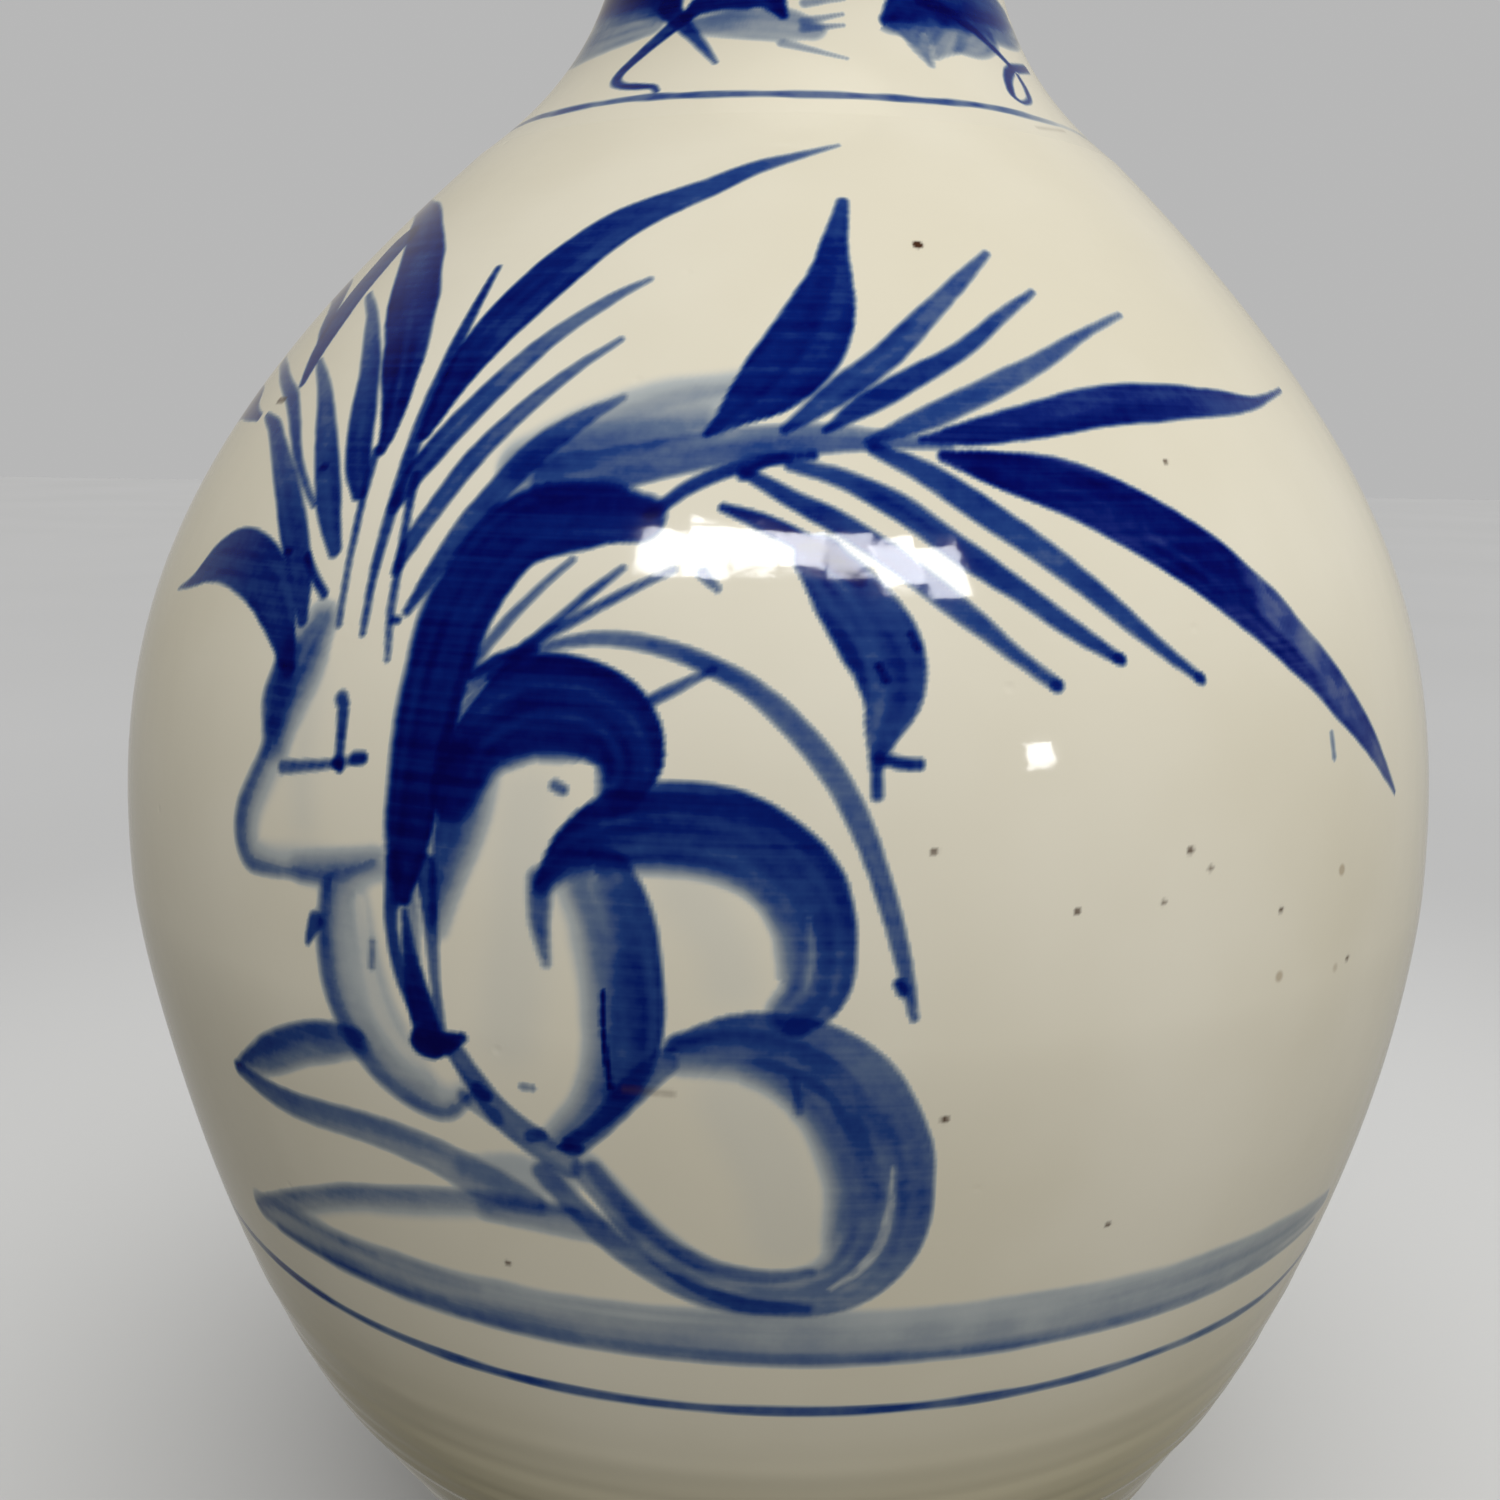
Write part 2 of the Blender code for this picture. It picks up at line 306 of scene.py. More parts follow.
def near_run(skin, run, reach):
    """The rows and columns near a run. For each crossing: the distance to the run, how far along it
    that is, the whole length, the half width there, and the side."""
    travel = skin.travel_at(run[:, 1])
    radius = skin.radius_at(run[:, 1])
    middle = (run[:, 0].min() + run[:, 0].max()) / 2
    off = skin.around(middle)
    reach_degrees = np.degrees(reach / radius.min())
    rows = np.flatnonzero((skin.travel > travel.min() - reach) & (skin.travel < travel.max() + reach))
    half = (run[:, 0].max() - run[:, 0].min()) / 2 + reach_degrees
    columns = np.flatnonzero(np.abs(off) < half)
    arc_mm = np.radians(off[columns])[None, :] * skin.radius[rows][:, None]
    rise = np.broadcast_to(skin.travel[rows][:, None], arc_mm.shape)
    spots = np.column_stack([np.radians(run[:, 0] - middle), travel])
    laid_flat = np.column_stack([spots[:, 0] * radius, travel])
    heading = np.gradient(laid_flat, axis=0)
    along = np.concatenate([[0.0], np.cumsum(np.hypot(*np.diff(laid_flat, axis=0).T))])

    best = np.full(arc_mm.shape, 1e9)
    place = np.zeros(arc_mm.shape)
    side = np.zeros(arc_mm.shape)
    chunk = 16
    for first in range(0, len(run), chunk):
        some = slice(first, first + chunk)
        low, high = travel[some].min() - reach, travel[some].max() + reach
        r = np.flatnonzero((skin.travel[rows] > low) & (skin.travel[rows] < high))
        left = run[some, 0].min() - middle - reach_degrees
        right = run[some, 0].max() - middle + reach_degrees
        c = np.flatnonzero((off[columns] > left) & (off[columns] < right))
        if not len(r) or not len(c):
            continue
        window = np.ix_(r, c)
        across = arc_mm[window][..., None] - spots[some, 0] * skin.radius[rows][r][:, None, None]
        up = rise[window][..., None] - travel[some]
        squared = across**2 + up**2
        nearest = squared.argmin(axis=-1)[..., None]
        found, up, across = (np.take_along_axis(each, nearest, -1)[..., 0] for each in (squared, up, across))
        index = nearest[..., 0] + first
        cross = heading[index, 0] * up - heading[index, 1] * across
        closer = found < best[window]
        best[window] = np.where(closer, found, best[window])
        place[window] = np.where(closer, index, place[window])
        side[window] = np.where(closer, np.sign(cross), side[window])
    index = place.astype(int)
    return rows, columns, np.sqrt(best), along[index], along[-1], run[index, 2], side


def brush(skin, points, ink, edge=0.65, left=0.0, right=0.0, soft_left=0.0, soft_right=0.0,
          start=1.0, end=1.0, streaks=0.18, rim=0.03, violet=0.0, layer="cobalt", wobble=1.0):
    """One stroke. left and right fade it towards that side of its way, start and end along it. soft_left
    and soft_right are how far, in mm, the paint bled out on that side."""
    skin.strokes += 1
    seed = skin.strokes
    run = run_through(skin, points)
    reach = run[:, 2].max() * 1.25 + edge + max(soft_left, soft_right) + 0.6
    rows, columns, distance, along, length, width, side = near_run(skin, run, reach)
    ragged = (noise(along / 4.0, side * 3, seed) - 0.5) * RAGGED_WIDE * width
    ragged = ragged + (noise(along / 1.1, side * 5, seed + 0.3) - 0.5) * RAGGED_FINE
    width = np.maximum(width + ragged * wobble, 0.04)
    softness = edge + np.where(side > 0, soft_left, soft_right)
    cover = eased((width - distance) / softness + 0.5)
    across = side * np.clip(distance / width, 0.0, 1.0)
    tone = ink * (1 - left * eased((across + 0.5) / 1.5)) * (1 - right * eased((0.5 - across) / 1.5))
    share = along / max(length, 1e-6)
    tone = tone * (start + (end - start) * share)
    bristles = noise(along / BRISTLE_LENGTH, across * width / BRISTLE_WIDTH + 50, seed + 0.6)
    blotch = noise(along / BLOTCH, across * width / BLOTCH + 20, seed + 0.9)
    tone = tone * (1 - streaks * (1.2 * bristles + 0.6 * blotch - 0.6))
    tone = tone + rim * ink * eased((np.abs(across) - 0.55) / 0.4) * (tone / max(ink, 1e-6))
    target = getattr(skin, layer)
    window = np.ix_(rows, columns)
    amount = np.clip(tone * cover, 0.0, 1.0)
    target[window] = 1 - (1 - target[window]) * (1 - amount)
    if violet:
        skin.violet[window] = np.maximum(skin.violet[window], violet * cover)


def lift(skin, points, share, edge=0.4):
    """A light gap: takes away a share of the cobalt along a line."""
    skin.strokes += 1
    run = run_through(skin, points)
    rows, columns, distance, along, _, width, side = near_run(skin, run, run[:, 2].max() + edge + 0.4)
    patchy = 0.75 + 0.5 * (noise(along / 1.6, side, skin.strokes) - 0.5)
    cover = eased((width - distance) / edge + 0.5) * patchy
    window = np.ix_(rows, columns)
    skin.cobalt[window] *= 1 - np.clip(share * cover, 0, 1)


def ring_line(skin, heights, half_width, ink, fade):
    """A line ruled round the pot on the wheel. heights are (azimuth, height) points, once round. It is
    fainter near each (azimuth, spread, depth) of fade."""
    azimuths, levels = np.array(heights, float).T
    turns = np.concatenate([azimuths - 360, azimuths, azimuths + 360])
    level = np.interp(skin.azimuth, turns, np.tile(levels, 3))
    strength = np.ones(len(skin.azimuth))
    for centre, spread, depth in fade:
        strength = strength * (1 - depth * np.exp(-((skin.around(centre) / spread) ** 2)))
    wander = 0.18 * (noise(skin.azimuth / 9.0, 0 * skin.azimuth, 71) - 0.5)
    thick = half_width * (0.8 + 0.4 * noise(skin.azimuth / 5.0, 0 * skin.azimuth + 3, 72))
    distance = np.abs(skin.travel[:, None] - skin.travel_at(level + wander)[None, :])
    tone = ink * strength * (0.75 + 0.5 * noise(skin.azimuth / 3.0, 0 * skin.azimuth + 9, 73))
    amount = np.clip(tone[None, :] * eased((thick[None, :] - distance) / 0.5 + 0.5), 0, 1)
    skin.cobalt[:] = 1 - (1 - skin.cobalt) * (1 - amount)


# The painting


def with_widths(places, widths):
    """Joins (azimuth, height) places with half widths, given singly, for each place, or spread evenly."""
    if isinstance(widths, (int, float)):
        widths = [widths] * len(places)
    if len(widths) != len(places):
        widths = np.interp(np.linspace(0, 1, len(places)), np.linspace(0, 1, len(widths)), widths)
    return [(azimuth, height, width) for (azimuth, height), width in zip(places, widths)]


def alike(runs, widths, **how):
    """Several strokes laid with the same brush."""
    return [(places, widths, how) for places in runs]


def dabs(spots, shape, widths, **how):
    """The same short stroke at each spot. shape is its places, measured from the spot."""
    return alike([[(spot[0] + x, spot[1] + y) for x, y in shape] for spot in spots], widths, **how)


def lay(skin, strokes, turn=0):
    """Lays a table's strokes in turn: those with a share are light gaps, the others paint."""
    for places, widths, how in strokes:
        turned = [(azimuth + turn, height) for azimuth, height in places]
        tool = lift if "share" in how else brush
        tool(skin, with_widths(turned, widths), **how)


# Every row is one stroke: its places in the brush's order of travel, its half widths, and how it was
# laid. The order of the rows gives each stroke its own seed, so a new row belongs at the end of HAZE.

# The bank that everything stands on
GROUND = (
    # the pale sweep of ground
    ([(-44, 62.8), (-30, 63), (-15, 63), (0, 63), (15, 62.8), (30, 62.4), (42, 61.8), (52, 61)],
     [1.6, 2.6, 2.9, 3.1, 3.1, 2.8, 2.2, 1.2],
     dict(ink=0.28, edge=1.6, left=0.4, streaks=0.4, rim=0, end=0.74)),
    # its lower edge
    ([(-42, 61.4), (-30, 61.2), (-20, 61), (0, 60.5), (20, 60.3), (35, 59.5), (51, 58.9)],
     [0.5, 0.6, 0.7, 0.75, 0.7, 0.6, 0.3], dict(ink=0.25, edge=1, left=0.4, streaks=0.4)),
    # four paler patches
    *dabs([(-36, 64.6), (-27, 64.4), (-30, 61.9), (-20, 61.7)], [(-6, 0), (0, 0), (6, -0.1)], [0.4, 1, 0.4],
          ink=0.12, edge=1.6, rim=0),
)

# The ground on the left, in three sweeps with two pale washes
LEFT_GROUND = (
    ([(-27.3, 87), (-30, 86.2), (-33, 84.8), (-37, 82.2), (-41, 79.6)], [1.2, 1.7, 1.8, 1.6, 0.4],
     dict(ink=0.54, edge=0.9, left=0.35, soft_left=0.8)),
    ([(-41, 79.3), (-37, 78.4), (-33, 78.3), (-28, 78.6), (-23, 77.8), (-18.5, 76), (-15.5, 74.8)],
     [0.7, 1.2, 1.4, 1.5, 1.8, 2, 1.2], dict(ink=0.54, edge=0.9, right=0.3, end=0.45)),
    ([(-13, 74.4), (-18, 74), (-22, 73), (-27, 71.4), (-31, 70), (-36, 67.3), (-40, 65), (-44.5, 62.5)],
     [0.8, 1.3, 1.5, 1.5, 1.5, 1.5, 1.4, 0.9],
     dict(ink=0.43, edge=1.1, left=0.6, soft_left=1.4, rim=0, start=0.66, end=0.74)),
    ([(-20, 77), (-16.5, 77.2), (-13, 77.6)], [1.4, 2.2, 1.2], dict(ink=0.12, edge=1.8, rim=0)),
    ([(-19, 73.2), (-13, 73.4), (-9.5, 72.6)], [0.9, 1.5, 1], dict(ink=0.2, edge=1.6, rim=0)),
)

# The rock at the left edge
ROCK = (
    # the rock, from its top down
    ([(-35.2, 117), (-35.7, 114.5), (-35.4, 112.4), (-35.2, 110.6), (-36, 108), (-37.1, 105), (-37.3, 102.7),
      (-36.7, 101.1), (-35.5, 100.7), (-33, 100.8), (-30.5, 101), (-28, 101.6), (-25.6, 102.8)],
     [1.2, 1.4, 1.2, 1, 1.2, 1.4, 1.4, 1.3, 1.1, 0.9, 0.9, 0.9, 0.5],
     dict(ink=0.52, edge=1.2, rim=0, left=0.4, soft_left=3.2, end=0.62)),
    # a wash
    ([(-32.6, 121), (-33.6, 118), (-34.4, 114.5), (-34.8, 111)], [1.2, 2.2, 1.9, 1],
     dict(ink=0.5, edge=3.2, rim=0, streaks=0.3)),
    ([(-35.2, 118.2), (-34.8, 115.5), (-35.2, 112)], [1.3, 1.3, 0.8], dict(ink=0.4, edge=1.6, rim=0)),
    ([(-29.2, 115.2), (-28.9, 114.2), (-28.7, 110)], [0.6, 0.55, 0.4], dict(ink=0.6)),
    ([(-33.8, 109), (-30, 109.8), (-26.7, 110.8)], [0.5, 0.34, 0.34], dict(ink=0.56)),
    ([(-27.4, 110.7), (-26.9, 110.8)], [0.55, 0.5], dict(ink=0.6)),
    ([(-28.8, 110.1), (-28.6, 109.8)], [0.6, 0.4], dict(ink=0.7)),
)

# The three round lobes, each with the strokes inside and beside it
LOBES = (
    ([(-20, 109), (-18.6, 113), (-15.6, 115.9), (-12.6, 116.2), (-10, 115), (-8.8, 112.6), (-9, 110.2)],
     [2, 3.1, 3.9, 3.9, 3.5, 2.7, 1.7], dict(ink=0.86, right=0.15, soft_right=1, streaks=0.24)),
    ([(-19.2, 111), (-19.5, 107), (-20.2, 103), (-20.8, 98.5)], [2.1, 1.9, 1.3, 0.6],
     dict(ink=0.74, edge=0.9, left=0.3, soft_left=2.4, end=0.65)),
    ([(-13.2, 110.3), (-12.7, 110)], 0.35, dict(ink=0.5)),
    ([(-20.8, 112), (-20.3, 114.5), (-19, 117), (-17.6, 119)], [0.35, 0.5, 0.5, 0.3], dict(share=0.75)),
    ([(-17.4, 112.6), (-14.6, 113.9), (-11.5, 113.7), (-9.8, 111.9)], [0.6, 1, 1, 0.6],
     dict(ink=0.4, edge=1)),
    ([(-13.9, 102.7), (-11.7, 105.7), (-8.6, 107.4), (-5, 107.7), (-1.5, 106.6), (1, 104.2), (2.3, 101),
      (2.6, 97.6), (2.2, 95), (1.2, 93.4)], [0.5, 2, 3.2, 3.4, 3.4, 3.3, 3.1, 2.9, 2.4, 1.8],
     dict(ink=0.88, right=0.22, soft_right=1.2, streaks=0.26, end=0.64)),
    ([(1.9, 95.5), (2.2, 98), (2, 101)], [0.2, 0.35, 0.2], dict(share=0.42)),
    # the band down the middle
    ([(-10.2, 103), (-9.3, 100), (-8.9, 96), (-8.7, 92), (-9.3, 88), (-10.8, 84.5), (-13, 81.4)],
     [2.9, 3.1, 3.1, 2.9, 2.4, 1.7, 1.1], dict(ink=0.6, right=0.5, soft_right=2.4, streaks=0.36)),
    ([(-8.4, 97), (-8.2, 93), (-8.3, 89), (-9.4, 86)], [1.2, 2, 1.9, 0.9],
     dict(ink=0.36, edge=1.4, rim=0, streaks=0.5, start=0.4)),
    ([(-13.9, 103), (-13.9, 100), (-13.5, 96.5)], [0.9, 0.7, 0.2], dict(ink=0.5, edge=1)),
    # down the rock, and up again
    ([(-28.8, 99.8), (-29, 95), (-28.5, 91), (-27.3, 87.8), (-25.3, 84.9), (-23, 83.1), (-21, 82.6),
      (-19.4, 84)], [1.1, 1.3, 1.4, 1.5, 1.5, 1.4, 1.1, 0.7],
     dict(ink=0.58, edge=1.2, rim=0, left=0.45, soft_left=2.8, end=0.66)),
    ([(-31.5, 100.8), (-28, 101.4), (-25, 102.4)], [1, 1.4, 1.1], dict(ink=0.2, edge=2.2, rim=0)),
    ([(-31, 94.8), (-30.2, 96.8)], [0.3, 0.8], dict(ink=0.6)),
    # a pale inner wash
    ([(-26.8, 99), (-26, 93), (-24.4, 88), (-22, 84.8)], [1.6, 2, 1.9, 1.3],
     dict(ink=0.13, edge=2.6, rim=0, streaks=0.6)),
    ([(-20, 88.5), (-18.6, 85.8), (-17, 83), (-15, 81), (-12.8, 79)], [0.8, 1, 1.2, 1.3, 1.2],
     dict(ink=0.5, end=0.6)),
    ([(-19.4, 84), (-17.5, 82.6)], [0.7, 0.9], dict(ink=0.26)),
    ([(-15.1, 81.3), (-14.4, 81.6)], 0.5, dict(ink=0.45)),
    ([(-12.6, 81.2), (-12.1, 80.8)], 0.5, dict(ink=0.5)),
    ([(-18.4, 84.9), (-17.9, 84.5)], 0.6, dict(ink=0.6)),
    ([(-12.4, 80.8), (-10.2, 83.6), (-8.2, 86.8), (-6.4, 89.2)], [0.9, 1, 1.1, 1.1], dict(ink=0.56, end=0.7)),
    ([(-5.3, 90.2), (-2, 91), (1.2, 90.2), (3.8, 88), (5.4, 84.5), (6.5, 80.5), (6.8, 76.5), (6.3, 72.5),
      (4.8, 69.3), (2, 67.5), (-1, 67.4), (-4, 68.6), (-6.8, 71.1), (-9.3, 74.6), (-11.7, 78.8)],
     [1.4, 2.4, 3.2, 3.9, 4.1, 4.1, 4, 3.7, 2.9, 2.2, 1.9, 1.7, 1.6, 1.4, 1.2],
     dict(ink=0.68, right=0.12, left=0.16, soft_right=2.2, streaks=0.34, end=0.48)),
    # the gap in its right side
    ([(7.2, 80), (7.1, 76), (6.5, 72.5), (5.2, 70), (3.6, 68.3)], [0.2, 0.42, 0.5, 0.42, 0.25],
     dict(share=0.72)),
    # its outer line
    ([(-14.5, 78), (-12, 74.2), (-9.3, 70.8), (-5.8, 67.8), (-2, 66.4), (2, 66.2)],
     [1, 1.1, 1.1, 1, 0.9, 0.5], dict(ink=0.36, edge=0.9)),
    # its inner line
    ([(-11.2, 79), (-9.4, 75.6), (-7, 72.4), (-4, 70.3), (-0.5, 69.5), (2.2, 70)],
     [0.7, 0.8, 0.8, 0.7, 0.6, 0.4], dict(ink=0.34, edge=0.9)),
)

# The dark trunk and its foot
TRUNK = (
    # the trunk
    ([(-9.6, 130.3), (-13, 130.5), (-18, 129), (-20.9, 124), (-22, 118), (-22.5, 112), (-22.9, 105),
      (-23.2, 100.5)], [2, 2.8, 3.3, 3.3, 3, 2.7, 2, 0.9],
     dict(ink=0.94, edge=0.7, soft_right=0.5, streaks=0.14, start=0.85, end=0.97)),
    ([(-23.8, 103), (-24, 98), (-23.4, 94), (-22.4, 90.5)], [0.8, 0.6, 0.6, 0.4], dict(ink=0.62)),
    ([(-23, 99), (-22.6, 95), (-22, 91.5), (-21.4, 88.2)], [0.3, 0.8, 1.2, 1.2], dict(ink=0.92, start=0.6)),
    ([(-21.6, 103), (-21.1, 98), (-20.9, 94), (-20.7, 89.5)], [1, 0.6, 0.4, 0.5], dict(ink=0.6, end=0.8)),
    ([(-22.5, 101), (-22.4, 95), (-22, 91)], [0.9, 0.7, 0.5], dict(ink=0.3, edge=0.9)),
    ([(-22.1, 101.5), (-21.9, 98), (-21.9, 95)], [0.2, 0.3, 0.2], dict(share=0.6)),
    ([(-21.9, 88.4), (-20.6, 88.5), (-19.2, 89.3)], [1.3, 1, 0.4], dict(ink=0.92)),
)

# The spray to the left, from its hooked leaf, then from the top down
LEFT_LEAVES = (
    # the hooked leaf
    ([(-55, 121.5), (-52, 122.6), (-49, 124.4), (-46, 125.3), (-43, 125), (-40, 123.8), (-37.5, 121.6),
      (-35.8, 119), (-34.8, 117)], [0.1, 0.6, 1.9, 2.7, 2.8, 2.7, 2.2, 1.4, 0.8],
     dict(ink=0.74, start=0.84, end=1.04)),
    ([(-75, 160.7), (-65, 159.8), (-60, 159), (-55, 157.8), (-50, 155.8), (-45, 153), (-40.5, 149.2),
      (-37, 145.2), (-34.3, 141), (-32.7, 137), (-32.5, 135)],
     [1, 1.2, 1.3, 1.9, 2.2, 2.7, 3, 2.7, 2, 1, 0.5],
     dict(ink=0.82, start=0.86, end=1.08, violet=0.12, streaks=0.22)),
    ([(-50, 149.5), (-45, 147), (-40, 142.8), (-37, 138.5), (-34.5, 134), (-33, 131.5)],
     [0.4, 0.7, 1.2, 1.5, 1.4, 0.8], dict(ink=0.56, start=0.72, end=1.3)),
    ([(-49.5, 143), (-45, 140.5), (-41, 137), (-38, 133.5), (-35.5, 130), (-33.3, 126.8)],
     [0.4, 0.8, 1.2, 1.4, 1.3, 0.7], dict(ink=0.6, start=0.76, end=1.15)),
    ([(-65, 143.7), (-60, 142.7), (-55, 141.2), (-50, 139.5), (-46, 137), (-43, 134.5), (-37.5, 130.3)],
     [0.5, 0.6, 0.7, 0.8, 0.7, 0.5, 0.3], dict(ink=0.6, start=0.8, end=1.05)),
    ([(-54, 138), (-50, 136.8), (-46, 134.5), (-42, 131.5), (-38.5, 127.8), (-36, 124.5), (-34.5, 121)],
     [0.3, 0.8, 1.1, 1.5, 1.6, 1.3, 0.6], dict(ink=0.64, start=0.8, end=1.12)),
    ([(-36, 126), (-34.5, 124.5), (-33, 123.2)], 0.4, dict(ink=0.8)),
    # dots at the tips
    *dabs([(-38.4, 126.3), (-38.3, 133.5), (-32.8, 139.2), (-26, 121.7)], [(-0.2, 0), (0.2, 0)], 0.3, ink=0.85),
    ([(-55, 155), (-54, 150), (-52.3, 145.5), (-50, 141)], [2.5, 2.4, 1.8, 0.5], dict(ink=0.7)),
    # a leaf that comes round the side
    ([(-75, 151.5), (-65, 151), (-60, 149.5), (-56, 147), (-54, 145.5)], [1.5, 1.5, 1.3, 1, 0.5],
     dict(ink=0.75)),
    # the lowest leaf
    ([(-75, 139.5), (-65, 139.3), (-60, 138.3), (-56, 137.8)], [2.5, 2, 1, 0.4], dict(ink=0.75)),
)

# The spray over the trunk, from the top down
CROWN = (
    ([(5, 162.5), (0, 161.3), (-5, 160), (-10, 158), (-15, 156.1), (-19, 154), (-22, 151.3), (-24.7, 148),
      (-26.8, 144.5), (-28, 141), (-28.8, 136.5)], [0.15, 0.5, 0.9, 1.3, 1.8, 2.3, 2.6, 2.7, 2.4, 1.7, 0.7],
     dict(ink=0.8, start=0.58, end=1.12)),
    ([(-13, 149.5), (-16, 147.8), (-20, 144.8), (-23, 141.3), (-25.8, 137.3), (-28, 133.5), (-29, 130.5)],
     [0.3, 0.6, 0.9, 1.2, 1.3, 1.2, 0.6], dict(ink=0.5, start=0.72, end=1.3)),
    ([(-14, 144.3), (-17, 142), (-20, 139), (-23, 135), (-25, 131), (-26.5, 127.5), (-27, 125.5)],
     [0.3, 0.5, 0.8, 1, 0.9, 0.8, 0.4], dict(ink=0.56, start=0.76, end=1.2)),
    ([(-12.5, 139.5), (-15, 138), (-18, 135.5), (-20.5, 132), (-23, 127.5), (-25.2, 122.5)],
     [0.3, 0.8, 1.3, 1.2, 1, 0.4], dict(ink=0.54, start=0.8, end=1.2)),
)

# The thin stems, and the washes where the right spray starts
STEMS = (
    ([(-33, 135), (-31.8, 128), (-30.8, 121)], [0.45, 0.35, 0.3], dict(ink=0.62, end=0.8)),
    # the main stem
    ([(-30.3, 151), (-30, 146), (-29.6, 140), (-29.2, 133), (-28.9, 126), (-28.5, 120.5)],
     [0.3, 0.6, 0.8, 0.7, 0.45, 0.3], dict(ink=0.74, end=0.75)),
    ([(-28, 133), (-27, 127), (-26.5, 122), (-26, 118.7)], [0.45, 0.35, 0.35, 0.25],
     dict(ink=0.66, end=0.85)),
    # the dark streak that the right spray grows from
    ([(-16, 133), (-12, 134), (-7, 135.3), (-2, 136.2), (3, 136.6), (8, 136.5), (12, 136.2)],
     [2.2, 2, 1.8, 1.5, 1.3, 0.8, 0.4], dict(ink=0.55, edge=0.8, left=0.4)),
    # a wash
    ([(-19, 134.5), (-14, 137), (-9, 139), (-4, 140.5)], [1.6, 2.2, 2, 1], dict(ink=0.22, edge=4, rim=0)),
    # a closer wash
    ([(-19, 133.8), (-13, 135.8), (-6, 137.4)], [1.6, 1.8, 1], dict(ink=0.34, edge=2.6, rim=0)),
    ([(-9, 130.5), (-6, 133), (-2.5, 134.5), (0, 135)], [0.5, 0.6, 0.6, 0.4], dict(ink=0.7)),
)

# The right spray, upper side
UP_LEAVES = (
    ([(5.1, 156.8), (4.1, 153), (3.6, 150), (2.7, 147), (1.2, 143.7), (-1, 141), (-3.5, 138.7),
      (-5.6, 136.8)], [0.5, 1.1, 1.9, 2.9, 3.4, 3, 1.6, 0.3], dict(ink=0.72, start=0.98, end=1.14)),
    ([(19.5, 152.5), (16, 150), (12, 146.8), (8, 143.3), (4, 140.3), (0, 137.2)],
     [0.35, 0.7, 1, 1.2, 1.2, 0.4], dict(ink=0.54, start=0.84, end=1.25)),
    ([(23, 149.2), (19, 147), (14.5, 144), (10, 141.5), (6, 139.3), (3, 137.2)], [0.3, 0.6, 0.8, 1, 1, 0.3],
     dict(ink=0.6, start=0.84, end=1.15)),
    ([(32.3, 147.7), (27, 145.8), (21, 143), (15, 140.3), (10, 138), (6, 136.4)],
     [0.3, 0.5, 0.9, 1.1, 1, 0.3], dict(ink=0.48, start=0.84, end=1.3)),
    ([(54, 141.9), (49, 141), (45, 140.4), (40, 140.3), (33, 140.1), (26, 139.6), (19, 138.2), (14, 137.2),
      (10, 136.6)], [0.15, 0.35, 0.7, 1.4, 1.8, 1.9, 1.6, 1.1, 0.3],
     dict(ink=0.78, start=0.84, end=1.1, violet=0.2)),
)

# The right spray, lower side
DOWN_LEAVES = (
    ([(11.5, 135.3), (16, 134.2), (21, 132.8), (26, 130.2), (31, 126.8), (35, 123.3), (39, 119.3),
      (43, 114.8), (46.5, 110.5), (50.5, 105)], [0.5, 1.8, 2.6, 2.9, 3, 2.8, 2.4, 2, 1.3, 0.15],
     dict(ink=0.92, start=1.02, end=0.76, violet=0.5)),
    ([(35.2, 126.6), (37.4, 123.2), (40, 120.2)], [1.2, 2.2, 1.6], dict(share=0.42, edge=1.8)),
    ([(40, 120), (43, 115.4), (46.5, 110.6), (50, 106)], [1.6, 1.7, 1.2, 0.6], dict(share=0.42, edge=1.6)),
    ([(14, 134.3), (14.8, 134)], 0.7, dict(ink=0.7, edge=1)),
    ([(6.5, 135.8), (10, 134), (14, 131), (18, 127.8), (22, 124), (25.5, 120.5), (28.5, 117.8)],
     [0.6, 1, 1.2, 1.1, 0.9, 0.6, 0.35], dict(ink=0.6, start=1.1, end=0.94)),
    ([(0.5, 134.5), (4, 133.5), (8, 131.3), (12, 128), (16, 124.8), (19.5, 121.8), (22.3, 119.7)],
     [0.5, 0.8, 1.1, 1.1, 0.9, 0.7, 0.35], dict(ink=0.62, start=1.1, end=0.94)),
    ([(-2.8, 134), (0, 132.3), (4, 130), (8, 127), (12, 123.3), (15, 120.3), (17.5, 118)],
     [0.4, 0.7, 0.9, 1, 0.9, 0.6, 0.5], dict(ink=0.6, start=1.1, end=0.94)),
    *dabs([(17.4, 118.1), (22.1, 119.9), (28.3, 118)], [(-0.1, 0), (0.1, 0)], 0.4, ink=0.6, edge=0.5),
    ([(-4, 131.2), (-1, 130), (2.5, 128), (5, 126)], [0.3, 0.7, 0.8, 0.5], dict(ink=0.8)),
    ([(-2.8, 133.6), (-1, 134.8), (2, 135.2)], 0.4, dict(ink=0.75)),
    # the hanging leaf
    ([(2.5, 127.5), (4.2, 125), (5.7, 122.5), (6.7, 120), (6.9, 117.5), (6.3, 115), (5.9, 112.5),
      (5.9, 110.3)], [2, 2.7, 3, 2.9, 2.4, 1.4, 0.5, 0.4], dict(ink=0.68, end=0.95, streaks=0.34)),
    ([(6, 113), (7.5, 112.6), (8.4, 112.5)], 0.4, dict(ink=0.75)),
    *dabs([(8.3, 121.5), (6.3, 119.2)], [(-0.2, 0.5), (0.2, -0.5)], 0.25, ink=0.9),
)

